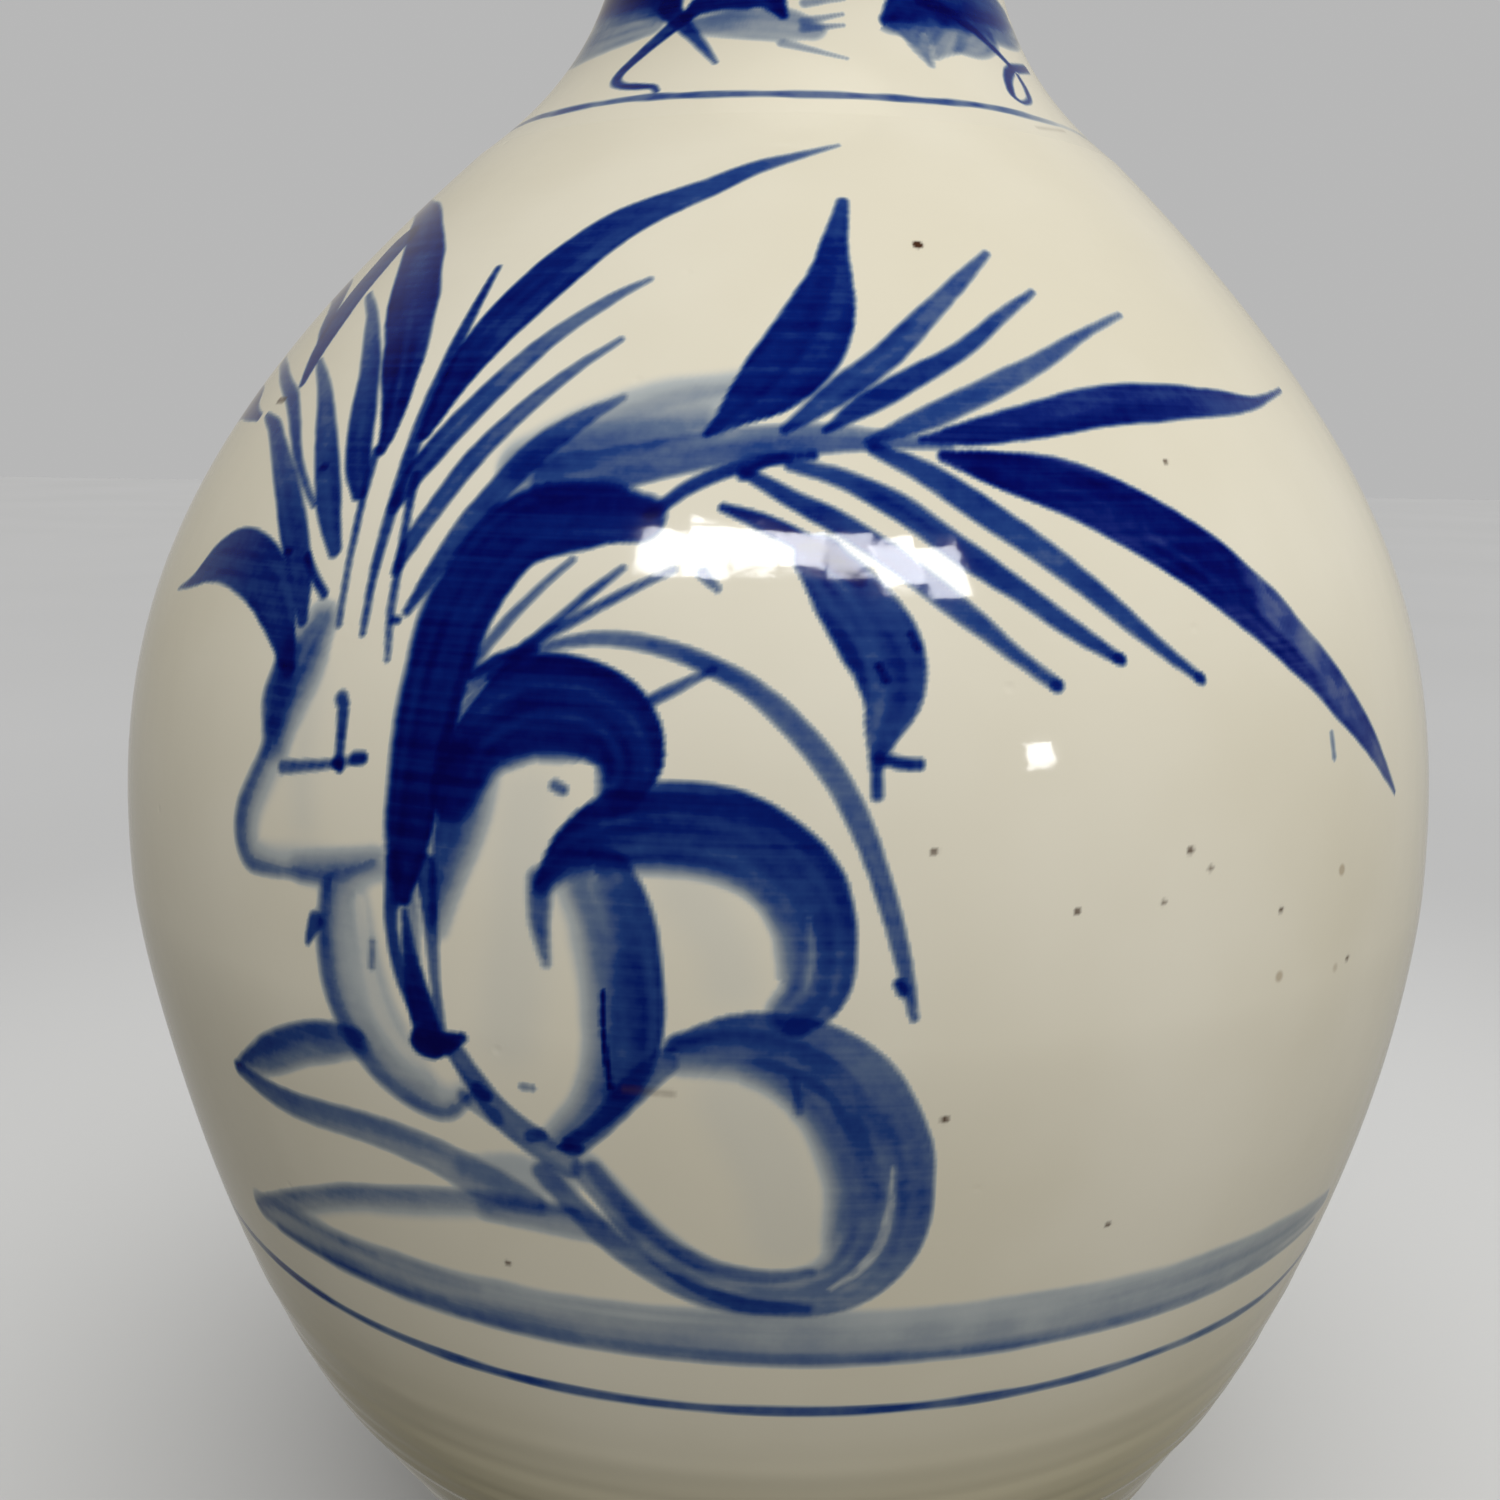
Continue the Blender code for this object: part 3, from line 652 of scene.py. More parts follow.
# The long blade that arches over the lobes
BLADE = (
    # the long blade
    ([(-20, 116.5), (-18, 118.5), (-15, 120.3), (-12, 121.2), (-9, 121.2), (-5.5, 120.2), (-2, 118.3),
      (1, 115.3), (3.5, 111.5), (5.3, 107), (6.7, 101.5), (7.6, 97), (8.2, 93)],
     [0.3, 0.4, 0.4, 0.5, 0.6, 0.7, 0.8, 0.9, 0.9, 0.8, 0.7, 0.6, 0.3], dict(ink=0.5)),
    ([(7.3, 95.8), (7.5, 95.2)], 0.4, dict(ink=0.8)),
    # the thin lines beside it
    *alike([
        [(-19.5, 119), (-17.5, 122.3), (-15.5, 125), (-13.8, 127)],
        [(-18, 118), (-15, 121.5), (-12.3, 124.5), (-10.3, 126.5)],
        [(-16, 120.5), (-12, 123.3), (-9.5, 125), (-7, 126.5)],
        [(-5, 126.3), (-4, 125.2)],
        [(-7.5, 117), (-6, 118), (-4, 119.3)],
    ], [0.45, 0.4, 0.25], ink=0.55),
    ([(-19.5, 118), (-17.5, 119.5), (-15.5, 120.3)], 0.45, dict(ink=0.8)),
)

# On the neck: a dark spray and its hooked stem over a pale streaked wash
NECK_SPRAY = (
    # a wash
    ([(-82, 178), (-66, 177.6), (-50, 177.2), (-36, 177.4)], [0.8, 2.6, 2.4, 1.4],
     dict(ink=0.36, edge=1.4, rim=0, streaks=0.5)),
    # the upper leaf
    ([(-80, 182.2), (-66, 182.4), (-52, 181.8), (-42, 180.9), (-33, 179.2)], [0.6, 2.2, 2.6, 2.2, 1.4],
     dict(ink=0.84, edge=1, soft_right=1.6)),
    # its point
    ([(-34, 179.4), (-30, 177.8), (-26, 176.4), (-22, 174.8), (-19, 173.4), (-16.2, 172)],
     [1.1, 0.95, 0.75, 0.55, 0.4, 0.2], dict(ink=0.72, edge=0.8, end=0.8)),
    # its hooked stem
    ([(-27.5, 177.4), (-31, 176), (-34.5, 174), (-36.6, 172.2), (-36.2, 171), (-33.5, 170.3), (-29.5, 169.9),
      (-26.4, 169.7), (-24.8, 169.1)], [1, 0.9, 0.75, 0.7, 0.6, 0.45, 0.45, 0.35, 0.25], dict(ink=0.68)),
    # the arched leaf
    ([(-27, 177.6), (-24, 178.8), (-19, 179.6), (-12, 179.7), (-7.5, 178.8), (-4.6, 177)],
     [0.7, 1.4, 2, 2.1, 1.3, 0.4], dict(ink=0.86, edge=0.9)),
    # the wash under it
    ([(-24, 176.4), (-14, 176.4), (-5, 176), (1.5, 175.4)], [1.2, 2, 2.2, 1.3],
     dict(ink=0.36, edge=1.2, rim=0, streaks=0.5, end=0.7)),
    # the pale tips
    *alike([
        [(-4, 174), (8, 172.4)], [(0, 176.4), (8, 177.3)], [(0, 175.6), (8, 176.1)], [(0, 178.4), (8.5, 179)],
    ], [0.5, 0.15], ink=0.28, edge=0.7),
)

# On the neck: a broad leaf, dark at its tip, on a stem that ends in a small loop
NECK_LEAF = (
    *alike([
        [(30, 178.6), (24.6, 175.6), (24.8, 172.6)], [(36, 178), (31, 175.6), (27, 173.6)],
        [(45, 177.4), (38, 175.8), (33, 174.8)], [(24, 177.6), (22.4, 176.4), (23, 174.8)],
    ], [2.2, 1.7, 0.3], ink=0.3, edge=1.2, rim=0, streaks=0.4),
    # the dark side of the leaf
    ([(18.6, 177), (23, 178.8), (30, 180.2), (40, 181), (52, 181.4), (66, 181.6)], [1, 1.9, 2.6, 3, 2.8, 1],
     dict(ink=0.9, edge=0.9, soft_right=1.8, end=0.5)),
    # its paler half
    ([(34, 178.4), (46, 178.8), (60, 179.4), (74, 180.4)], [1.4, 1.9, 2, 0.8],
     dict(ink=0.5, edge=1.4, rim=0, streaks=0.4, end=0.6)),
    # the stem
    ([(28, 179.8), (36, 179), (42, 177.8), (47, 176.2), (50, 174.9)], [0.8, 0.7, 0.55, 0.45, 0.4],
     dict(ink=0.8)),
    # the loop
    ([(60, 175.4), (54.5, 174.9), (49.6, 174.3), (46, 173.2), (43.5, 171.8), (42.4, 170.7), (44, 170.1),
      (47.5, 170.8), (50, 172.3), (51, 173.8)], [0.5, 0.55, 0.6, 0.6, 0.5, 0.4, 0.3, 0.32, 0.32, 0.3],
     dict(ink=0.72)),
)

# Iron specks: azimuth, height, half width, ink
SPECKS = (
    (12.5, 153, 0.36, 1.4), (9.3, 106, 0.22, 0.7), (18.3, 100.7, 0.22, 0.7), (28.1, 102.8, 0.2, 0.6),
    (26.5, 104.5, 0.25, 0.7), (24.4, 100.6, 0.18, 0.6), (30.2, 135.1, 0.2, 0.7), (34.6, 98, 0.2, 0.7),
    (10.3, 84.2, 0.25, 0.8), (-18, 68, 0.22, 0.7), (43, 91.3, 0.22, 0.7), (22.5, 71.7, 0.22, 0.7),
)

# Iron specks, a hairline and smudges of the firing
MARKS = (
    *(([(azimuth - 0.05, height), (azimuth + 0.05, height)], [width * 1.25, width],
       dict(ink=ink * 1.3, edge=0.3, layer="iron", wobble=0.5)) for azimuth, height, width, ink in SPECKS),
    ([(-53.2, 139.4), (-51.8, 139.4)], 0.35, dict(ink=0.8, edge=0.3, layer="iron")),
    # the hairline
    ([(-10, 94.5), (-10, 91), (-9.7, 86.6)], 0.22, dict(ink=1, edge=0.3, wobble=0.2, streaks=0)),
    ([(-8.8, 86.6), (-6, 86.5)], 0.3, dict(ink=0.35, edge=0.4, layer="iron")),
    # smudges
    *alike([
        [(-15.3, 85.8), (-14.7, 85.8)], [(1.2, 88), (1.5, 85.3)],
        [(-25.5, 96), (-25.6, 94)], [(41, 112), (41, 110)],
    ], 0.3, ink=0.3, edge=0.5),
    ([(41, 167), (50, 167.6)], 0.25, dict(ink=0.3, edge=0.6, layer="iron")),
)

# The side away from the camera: the left spray's far end, a small bamboo twig and a low bank
BACK = (
    ([(-75, 160.7), (-84, 160.2), (-93, 158.2), (-100, 155)], [1, 1.3, 1, 0.2], dict(ink=0.72, violet=0.5)),
    ([(-75, 151.5), (-84, 150.2), (-92, 147)], [1.5, 1.3, 0.3], dict(ink=0.74)),
    ([(-75, 139.5), (-84, 138), (-93, 134)], [2.5, 1.8, 0.3], dict(ink=0.74)),
    # the twig
    ([(150, 142), (158, 139), (167, 136.5), (176, 135.5), (186, 136)], [0.3, 0.45, 0.5, 0.45, 0.25],
     dict(ink=0.75)),
    # the twig's leaves
    ([(160, 138.5), (157, 132), (152, 125), (146, 119)], [0.4, 1.9, 2, 0.2], dict(ink=0.78)),
    ([(162, 138), (162, 130), (160, 122), (157, 114)], [0.4, 1.9, 2, 0.2], dict(ink=0.8)),
    ([(168, 136.5), (170, 129), (171, 121), (171, 112)], [0.4, 1.9, 2, 0.2], dict(ink=0.82)),
    ([(176, 135.5), (181, 130), (187, 123), (192, 116)], [0.4, 1.9, 2, 0.2], dict(ink=0.78)),
    ([(185, 136), (192, 137), (199, 136), (206, 132)], [0.4, 1.9, 2, 0.2], dict(ink=0.8)),
    ([(158, 139.5), (150, 143), (143, 144), (136, 142)], [0.4, 1.9, 2, 0.2], dict(ink=0.82)),
    # the bank
    ([(120, 62), (140, 63.5), (165, 64), (190, 63.2), (215, 62.3)], [0.6, 2.2, 2.6, 2.2, 0.6],
     dict(ink=0.3, edge=1.6, left=0.6, rim=0, streaks=0.5)),
    ([(120, 60.8), (165, 61.4), (215, 60.9)], [0.4, 0.7, 0.3], dict(ink=0.42, edge=0.6)),
)

FAINT = dict(ink=0.04, edge=6, rim=0, streaks=0)
# The faint breath of cobalt that spread into the glaze inside the lobes
HAZE = (
    ([(-15, 109), (-15, 104), (-15.5, 97), (-16, 90)], 3.6, FAINT),
    ([(-5, 103), (-3, 99), (-2.5, 96)], 3.4, FAINT),
    ([(-2, 86), (0, 80), (1, 74)], 4.4, FAINT),
    ([(-32, 116), (-32, 110), (-31.5, 105)], 2.6, FAINT),
)


def paint_rings(skin):
    neck = ((-180, 168.3), (-90, 168.5), (-30, 168.4), (0, 168.1), (20, 168.1), (30, 168.4), (90, 168.2))
    ring_line(skin, neck, 0.54, 0.48, fade=((55, 16, 0.85),))
    lower = ((-180, 54.5), (-90, 55.6), (-45, 55.2), (-25, 54.7), (0, 54.4), (30, 53.8), (45, 52.8), (90, 53.2))
    ring_line(skin, lower, 0.52, 0.50, fade=((42, 24, 0.45),))


def paint(skin):
    """The whole painting. On the neck are five motifs, of which the photo shows the first of each kind."""
    paint_rings(skin)
    for strokes in (GROUND, LEFT_GROUND, ROCK, LOBES, TRUNK, LEFT_LEAVES, CROWN, STEMS):
        lay(skin, strokes)
    for strokes in (UP_LEAVES, DOWN_LEAVES, BLADE):
        lay(skin, strokes)
    for turn in (0, 160):
        lay(skin, NECK_SPRAY, turn)
    for turn in (0, 157, 211):
        lay(skin, NECK_LEAF, turn)
    for strokes in (MARKS, BACK, HAZE):
        lay(skin, strokes)


# Materials


def srgb(red, green, blue):
    """A colour given as 0 to 255 on a screen, as the shader's own numbers."""
    made = []
    for channel in (red, green, blue):
        share = channel / 255
        made.append(share / 12.92 if share <= 0.04045 else ((share + 0.055) / 1.055) ** 2.4)
    return (*made, 1.0)


class Nodes:
    """The node tree of a material or a world, built by short calls."""

    def __init__(self, owner, place="Object"):
        owner.use_nodes = True
        self.owner = owner
        self.tree = owner.node_tree
        self.place = self.add("TexCoord").outputs[place]

    def add(self, kind, **sockets):
        """A new node, with its sockets linked or set."""
        node = self.tree.nodes.new("ShaderNode" + kind)
        for name, value in sockets.items():
            self.give(value, node.inputs[name.replace("_", " ")])
        return node

    def give(self, value, socket):
        if isinstance(value, bpy.types.NodeSocket):
            self.tree.links.new(value, socket)
        else:
            socket.default_value = value

    def math(self, operation, first, second=0.0, third=0.0, clamp=False):
        node = self.add("Math")
        node.operation = operation
        node.use_clamp = clamp
        for value, socket in zip((first, second, third), node.inputs):
            self.give(value, socket)
        return node.outputs[0]

    def vector(self, operation, *vectors):
        node = self.add("VectorMath")
        node.operation = operation
        for value, socket in zip(vectors, node.inputs):
            self.give(value, socket)
        return node.outputs["Value"]

    def parts(self):
        """The place's X, Y and Z."""
        return self.add("SeparateXYZ", Vector=self.place).outputs

    def stretched(self, scale, location=(0.0, 0.0, 0.0)):
        return self.add("Mapping", Vector=self.place, Location=location, Scale=scale).outputs[0]

    def noise(self, scale, detail=2.0, source=None, roughness=0.5, distortion=0.0):
        node = self.add("TexNoise", Vector=source or self.place, Scale=scale, Detail=detail,
                        Roughness=roughness, Distortion=distortion)
        return node.outputs["Fac"]

    def cells(self, scale):
        return self.add("TexVoronoi", Vector=self.place, Scale=scale).outputs

    def attribute(self, name):
        node = self.add("Attribute")
        node.attribute_name = name
        return node.outputs["Fac"]

    def span(self, value, low, high, to_low=0.0, to_high=1.0, smooth=False):
        node = self.add("MapRange", From_Min=low, From_Max=high, To_Min=to_low, To_Max=to_high)
        node.interpolation_type = "SMOOTHSTEP" if smooth else "LINEAR"
        self.give(value, node.inputs["Value"])
        return node.outputs["Result"]

    def ramp(self, value, stops):
        node = self.add("ValToRGB", Fac=value)
        elements = node.color_ramp.elements
        while len(elements) < len(stops):
            elements.new(0.5)
        for element, (at, colour) in zip(elements, stops):
            element.position = at
            element.color = colour
        return node.outputs["Color"]

    def mix(self, share, first, second):
        """A mix of two colours. The node has sockets of each type: 6, 7 and output 2 are the colours."""
        node = self.add("Mix")
        node.data_type = "RGBA"
        for value, socket in ((share, 0), (first, 6), (second, 7)):
            self.give(value, node.inputs[socket])
        return node.outputs[2]

    def mix_levels(self, share, first, second):
        node = self.add("Mix")
        for value, socket in ((share, 0), (first, 2), (second, 3)):
            self.give(value, node.inputs[socket])
        return node.outputs[0]

    def bump(self, height, depth, strength=1.0, below=None):
        node = self.add("Bump", Strength=strength, Distance=depth, Height=height)
        if below is not None:
            self.give(below, node.inputs["Normal"])
        return node.outputs["Normal"]

    def finish(self, colour, roughness, normal=None, **constants):
        """Sets the material's shader, and gives the material."""
        shader = self.tree.nodes["Principled BSDF"]
        self.give(colour, shader.inputs["Base Color"])
        self.give(roughness, shader.inputs["Roughness"])
        if normal is not None:
            self.give(normal, shader.inputs["Normal"])
        for name, value in constants.items():
            shader.inputs[name.replace("_", " ")].default_value = value
        return self.owner


def material_nodes(name):
    return Nodes(bpy.data.materials.new(name))


def glaze_material():
    """Warm white porcelain with cobalt painted under a clear, glassy glaze."""
    nodes = material_nodes("cobalt_under_glaze")
    painted = nodes.attribute("cobalt")
    wheel = nodes.noise(1.0, 2.0, nodes.stretched((25, 25, 1500)))
    cloud = nodes.noise(170.0, 3.0)
    fine = nodes.noise(900.0, 2.0)
    combed = nodes.span(painted, 0.5, 0.9, 0.03, 0.09)
    combed = nodes.math("MULTIPLY", nodes.span(wheel, 0.3, 0.7, -1.0, 1.0), combed)
    uneven = nodes.math("ADD", combed, nodes.span(cloud, 0.3, 0.7, -0.05, 0.05))
    uneven = nodes.math("ADD", uneven, nodes.span(fine, 0.3, 0.7, -0.03, 0.03))
    share = nodes.math("MULTIPLY_ADD", uneven, nodes.span(painted, 0.05, 0.5), painted)
    blue = nodes.ramp(
        share,
        (
            (0.00, srgb(196, 197, 192)), (0.08, srgb(180, 185, 184)), (0.18, srgb(148, 156, 162)),
            (0.34, srgb(93, 111, 140)), (0.53, srgb(32, 62, 124)), (0.70, srgb(3, 28, 106)),
            (0.86, srgb(0, 8, 90)), (1.0, srgb(0, 0, 74)),
        ),
    )
    thin = nodes.span(share, 0.78, 0.45, 0.0, 0.5)
    violet = nodes.math("MULTIPLY", nodes.attribute("violet"), thin, clamp=True)
    blue = nodes.mix(violet, blue, srgb(88, 82, 140))

    tone = nodes.noise(22.0, 3.0)
    cream = nodes.mix(nodes.span(tone, 0.35, 0.65), srgb(226, 220, 202), srgb(216, 209, 188))
    # Darker, warmer glaze towards the foot: partly glaze pooled low on the pot, partly painted shade on the
    # lower body
    pooled_glaze_and_shade = nodes.span(nodes.parts()["Z"], 0.028, 0.060, 0.8, 0.0, smooth=True)
    cream = nodes.mix(pooled_glaze_and_shade, cream, srgb(186, 177, 142))
    flecks = nodes.cells(160.0)
    sparse = nodes.span(flecks["Color"], 0.86, 0.9)
    dot = nodes.span(flecks["Distance"], 0.05, 0.12, 1.0, 0.0, smooth=True)
    fleck = nodes.math("MULTIPLY", sparse, dot)
    cream = nodes.mix(nodes.math("MULTIPLY", fleck, 0.55), cream, srgb(150, 128, 98))
    body = nodes.mix(nodes.span(share, 0.01, 0.10, smooth=True), cream, blue)
    body = nodes.mix(nodes.attribute("iron"), body, srgb(70, 44, 30))

    swell = nodes.noise(60.0, 1.0)
    peel = nodes.noise(420.0, 2.0)
    normal = nodes.bump(swell, 0.00003)
    normal = nodes.bump(peel, 0.000012, below=normal)
    pins = nodes.span(nodes.cells(95.0)["Distance"], 0.0, 0.06, 0.0, 1.0, smooth=True)
    normal = nodes.bump(pins, 0.00005, 0.6, below=normal)
    roughness = nodes.span(nodes.noise(35.0, 3.0), 0.35, 0.65, 0.035, 0.07)
    return nodes.finish(body, roughness, normal, Specular_IOR_Level=0.5, IOR=1.5)


def biscuit_material():
    """The bare, unglazed ring that the pot was fired on, rubbed and a little stained."""
    nodes = material_nodes("bare_porcelain_foot")
    grit = nodes.noise(1800.0, 3.0)
    stain = nodes.noise(90.0, 4.0)
    colour = nodes.mix(nodes.span(stain, 0.45, 0.7), srgb(206, 190, 160), srgb(158, 128, 92))
    colour = nodes.mix(nodes.span(grit, 0.6, 0.75, 0.0, 0.5), colour, srgb(120, 100, 78))
    return nodes.finish(colour, 0.82, nodes.bump(grit, 0.00012))


def cork_material():
    """Natural cork: pale grain with dark pores."""
    nodes = material_nodes("natural_cork")
    wide = nodes.noise(140.0, 4.0, roughness=0.6)
    grain = nodes.cells(700.0)
    pores = nodes.noise(1.0, 3.0, nodes.stretched((420, 420, 190)), distortion=0.8)
    colour = nodes.mix(nodes.span(wide, 0.35, 0.7), srgb(196, 152, 104), srgb(163, 114, 70))
    colour = nodes.mix(nodes.span(grain["Distance"], 0.1, 0.6, 0.0, 0.35), colour, srgb(120, 80, 46))
    hole = nodes.span(pores, 0.60, 0.68)
    colour = nodes.mix(hole, colour, srgb(72, 44, 24))
    normal = nodes.bump(nodes.math("SUBTRACT", 1.0, hole), 0.0004)
    normal = nodes.bump(grain["Distance"], 0.00012, below=normal)
    return nodes.finish(colour, nodes.span(pores, 0.3, 0.7, 0.78, 0.92), normal)


def wood_material():
    """A turned hardwood knob, oiled: rings of growth round a pith off to one side, pores along the grain."""
    nodes = material_nodes("turned_hardwood")
    bend = nodes.noise(30.0, 2.0)
    pith = nodes.stretched((0.25, 1.0, 1.0), location=(0.0, 0.045, -0.235))
    rings = nodes.add("TexWave", Vector=pith, Scale=46.0, Distortion=3.0, Detail=3.0, Detail_Scale=2.0)
    rings.wave_type = "RINGS"
    rings.rings_direction = "X"
    pores = nodes.noise(1.0, 3.0, nodes.stretched((160, 1900, 1900)))
    colour = nodes.mix(rings.outputs["Fac"], srgb(134, 84, 48), srgb(88, 50, 27))
    colour = nodes.mix(nodes.span(bend, 0.35, 0.65, 0.0, 0.4), colour, srgb(112, 66, 36))
    dark = nodes.span(pores, 0.60, 0.72)
    colour = nodes.mix(nodes.math("MULTIPLY", dark, 0.8), colour, srgb(42, 22, 12))
    normal = nodes.bump(nodes.math("SUBTRACT", 1.0, dark), 0.00008)
    return nodes.finish(colour, nodes.span(pores, 0.3, 0.7, 0.34, 0.5), normal)


def floor_material():
    nodes = material_nodes("pale_floor")
    tone = nodes.noise(3.0, 2.0)
    colour = nodes.mix(nodes.span(tone, 0.3, 0.7), srgb(178, 178, 178), srgb(175, 175, 175))
    # Painted light: the floor is lighter round the pot and fades to a darker grey further off
    out = nodes.vector("LENGTH", nodes.stretched((1, 1, 0)))
    near = nodes.span(out, 0.10, 0.36, 1.0, 0.0, smooth=True)
    colour = nodes.mix(near, colour, srgb(198, 198, 197))
    return nodes.finish(colour, 0.9, None, Specular_IOR_Level=0.1)


# Meshes


def unit(vectors):
    return vectors / np.linalg.norm(vectors, axis=-1, keepdims=True)


def grid_normals(points, ends):
    """Smooth normals for a grid of points, apart for each stretch of rows that ends at one of ends."""
    normals = np.zeros_like(points)
    first = 0
    for last in ends:
        patch = points[first : last + 1]
        round_way = np.roll(patch, -1, axis=1) - np.roll(patch, 1, axis=1)
        normals[first : last + 1] = unit(np.cross(round_way, np.gradient(patch, axis=0)))
        first = last + 1
    return normals


def square_normals(corners):
    """The true normals of four-cornered faces."""
    across = np.cross(corners[:, 2] - corners[:, 0], corners[:, 3] - corners[:, 1])
    return across / np.maximum(np.linalg.norm(across, axis=-1, keepdims=True), 1e-20)


def grid_uv(bands, columns):
    """Each corner's place on a flat chart: once round across, once along the line up."""
    here = np.arange(columns)[None, :]
    u = np.stack([here / columns, (here + 1) / columns, (here + 1) / columns, here / columns], axis=-1)
    v = np.arange(bands)[:, None] / bands
    v_next = v + 1 / bands
    v = np.stack([v, v, v_next, v_next], axis=-1)
    shape = (bands, columns, 4)
    return np.stack([np.broadcast_to(u, shape), np.broadcast_to(v, shape)], axis=-1).reshape(-1, 2)


def write_mesh(name, points, corners, counts, normals, uv):
    """A mesh and its object, from points, each face's count of corners, and each corner's normal and uv."""
    mesh = bpy.data.meshes.new(name)
    mesh.vertices.add(len(points))
    mesh.vertices.foreach_set("co", points.astype(np.float32).ravel())
    mesh.loops.add(len(corners))
    mesh.loops.foreach_set("vertex_index", corners.astype(np.int32))
    mesh.polygons.add(len(counts))
    firsts = np.concatenate([[0], np.cumsum(counts)[:-1]])
    mesh.polygons.foreach_set("loop_start", firsts.astype(np.int32))
    mesh.uv_layers.new(name="OFBake")
    mesh.uv_layers["OFBake"].data.foreach_set("uv", uv.astype(np.float32).ravel())
    mesh.update(calc_edges=True)
    mesh.validate()
    mesh.shade_smooth()
    mesh.normals_split_custom_set(normals.astype(np.float32))
    return in_scene(bpy.data.objects.new(name, mesh))


def in_scene(item):
    bpy.context.scene.collection.objects.link(item)
    return item


def grid_mesh(name, line, azimuths, sharp_after, sealed, leaning=True):
    """A closed shape swept round the axis. line is (radius, height) in mm. sharp_after are the rows that end a
    smooth stretch. sealed shapes end on the axis, others join their last row to their first."""
    rows, columns = len(line), len(azimuths)
    angle = np.radians(azimuths)
    lean_mm = lean(line[:, 1]) if leaning else np.zeros(rows)
    x = line[:, :1] * np.sin(angle)[None, :] + lean_mm[:, None]
    y = -line[:, :1] * np.cos(angle)[None, :]
    z = np.repeat(line[:, 1:], columns, axis=1)
    grid = np.stack([x, y, z], axis=-1)
    normals = grid_normals(grid, list(sharp_after) + [rows - 1])

    bands = rows - 1 if sealed else rows
    lower = np.arange(bands)[:, None] * columns
    upper = (np.arange(bands)[:, None] + 1) % rows * columns
    here = np.arange(columns)[None, :]
    following = (here + 1) % columns
    quads = np.stack([lower + here, lower + following, upper + following, upper + here], axis=-1).reshape(-1, 4)
    flat_band = np.isin(np.arange(bands), sharp_after) | (np.arange(bands) == rows - 1)
    flat_faces = np.repeat(flat_band, columns)

    points = grid.reshape(-1, 3) * MM
    corners = quads.reshape(-1)
    corner_normals = normals.reshape(-1, 3)[corners]
    corner_normals[np.repeat(flat_faces, 4)] = np.repeat(square_normals(points[quads[flat_faces]]), 4, axis=0)
    counts = np.full(len(quads), 4)
    uv = grid_uv(bands, columns)
    if sealed:
        around = np.arange(columns)
        corners = np.concatenate([corners, around[::-1], (rows - 1) * columns + around])
        counts = np.concatenate([counts, [columns, columns]])
        caps = [np.tile(unit(row.mean(axis=0)), (columns, 1)) for row in (normals[0], normals[-1])]
        corner_normals = np.concatenate([corner_normals, *caps])
        cap = np.column_stack([np.sin(angle), np.cos(angle)]) * 0.0005
        uv = np.concatenate([uv, cap[::-1] + 0.001, cap + 0.998])
    return write_mesh(name, points, corners, counts, corner_normals, uv)


def write_attribute(mesh, name, values):
    layer = mesh.attributes.new(name, "FLOAT", "POINT")
    layer.data.foreach_set("value", values.astype(np.float32).ravel())


def glazed_pieces():
    """The body in its three thrown sections, with one painting across all of them."""
    azimuths = column_azimuths()
    stretches = outlines()
    skin = Skin(np.vstack([dict(parts)["skin"] for parts in stretches.values()]), azimuths)
    paint(skin)

    glaze, biscuit = glaze_material(), biscuit_material()
    used = 0
    for name, parts in stretches.items():
        line = np.vstack([points for _, points in parts])
        sizes = {part: len(points) for part, points in parts}
        sharp = np.cumsum(list(sizes.values()))[:-1] - 1
        piece = grid_mesh(name, line, azimuths, sharp, sealed="under" in sizes)
        before, count = sizes.get("under", 0), sizes["skin"]
        for layer in ("cobalt", "violet", "iron"):
            values = np.zeros((len(line), len(azimuths)))
            values[before : before + count] = getattr(skin, layer)[used : used + count]
            write_attribute(piece.data, layer, values)
        used += count
        piece.data.materials.append(glaze)
        if before:
            piece.data.materials.append(biscuit)
            bare = (np.arange(len(line) - 1) < before + 1) & (line[:-1, 1] < FOOT_ROUND + 0.05)
            index = np.concatenate([np.repeat(bare, len(azimuths)), [False, False]]).astype(np.int32)
            piece.data.polygons.foreach_set("material_index", index)
        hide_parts(name.removeprefix("glazed_"))
        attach(piece, "bottle")


# The stopper, in mm
CORK_EDGE = 0.8
SPIGOT_HOLE, HOLE_DEPTH = 4.3, 13.0
SPIGOT_RADIUS, SPIGOT_LENGTH = 4.0, 13.0
KNOB_ROUND, KNOB_FOOT_ROUND, KNOB_CROWN = 6.0, 1.5, 1.0
GROOVE_UP, GROOVE_WIDTH, GROOVE_DEPTH = 5.0, 2.0, 0.8
TIP_RADIUS = 0.4


def cork_piece():
    """The tapered cork, with worn edges and the hole that takes the knob's spigot."""
    low, high = CORK_LOW.z / MM, CORK_HIGH.z / MM
    top_radius = CORK_HIGH.x / MM
    taper = (MOUTH_BORE - (WAIST_RADIUS - WALL)) / (MOUTH_HEIGHT - WAIST_HEIGHT)
    foot_radius = top_radius - (high - low) * taper
    edge, hole_floor = CORK_EDGE, high - HOLE_DEPTH
    outline = [(TIP_RADIUS, low), (foot_radius - edge, low)]
    outline += arc((foot_radius - edge, low + edge), edge, -60, -10, 5)
    outline += arc((top_radius - edge, high - edge), edge, 5, 75, 6)
    outline += [(top_radius - edge, high), (SPIGOT_HOLE, high)]
    outline += [(SPIGOT_HOLE, hole_floor), (TIP_RADIUS, hole_floor)]
    return stopper_mesh("natural_cork_stopper", outline, 0.5)


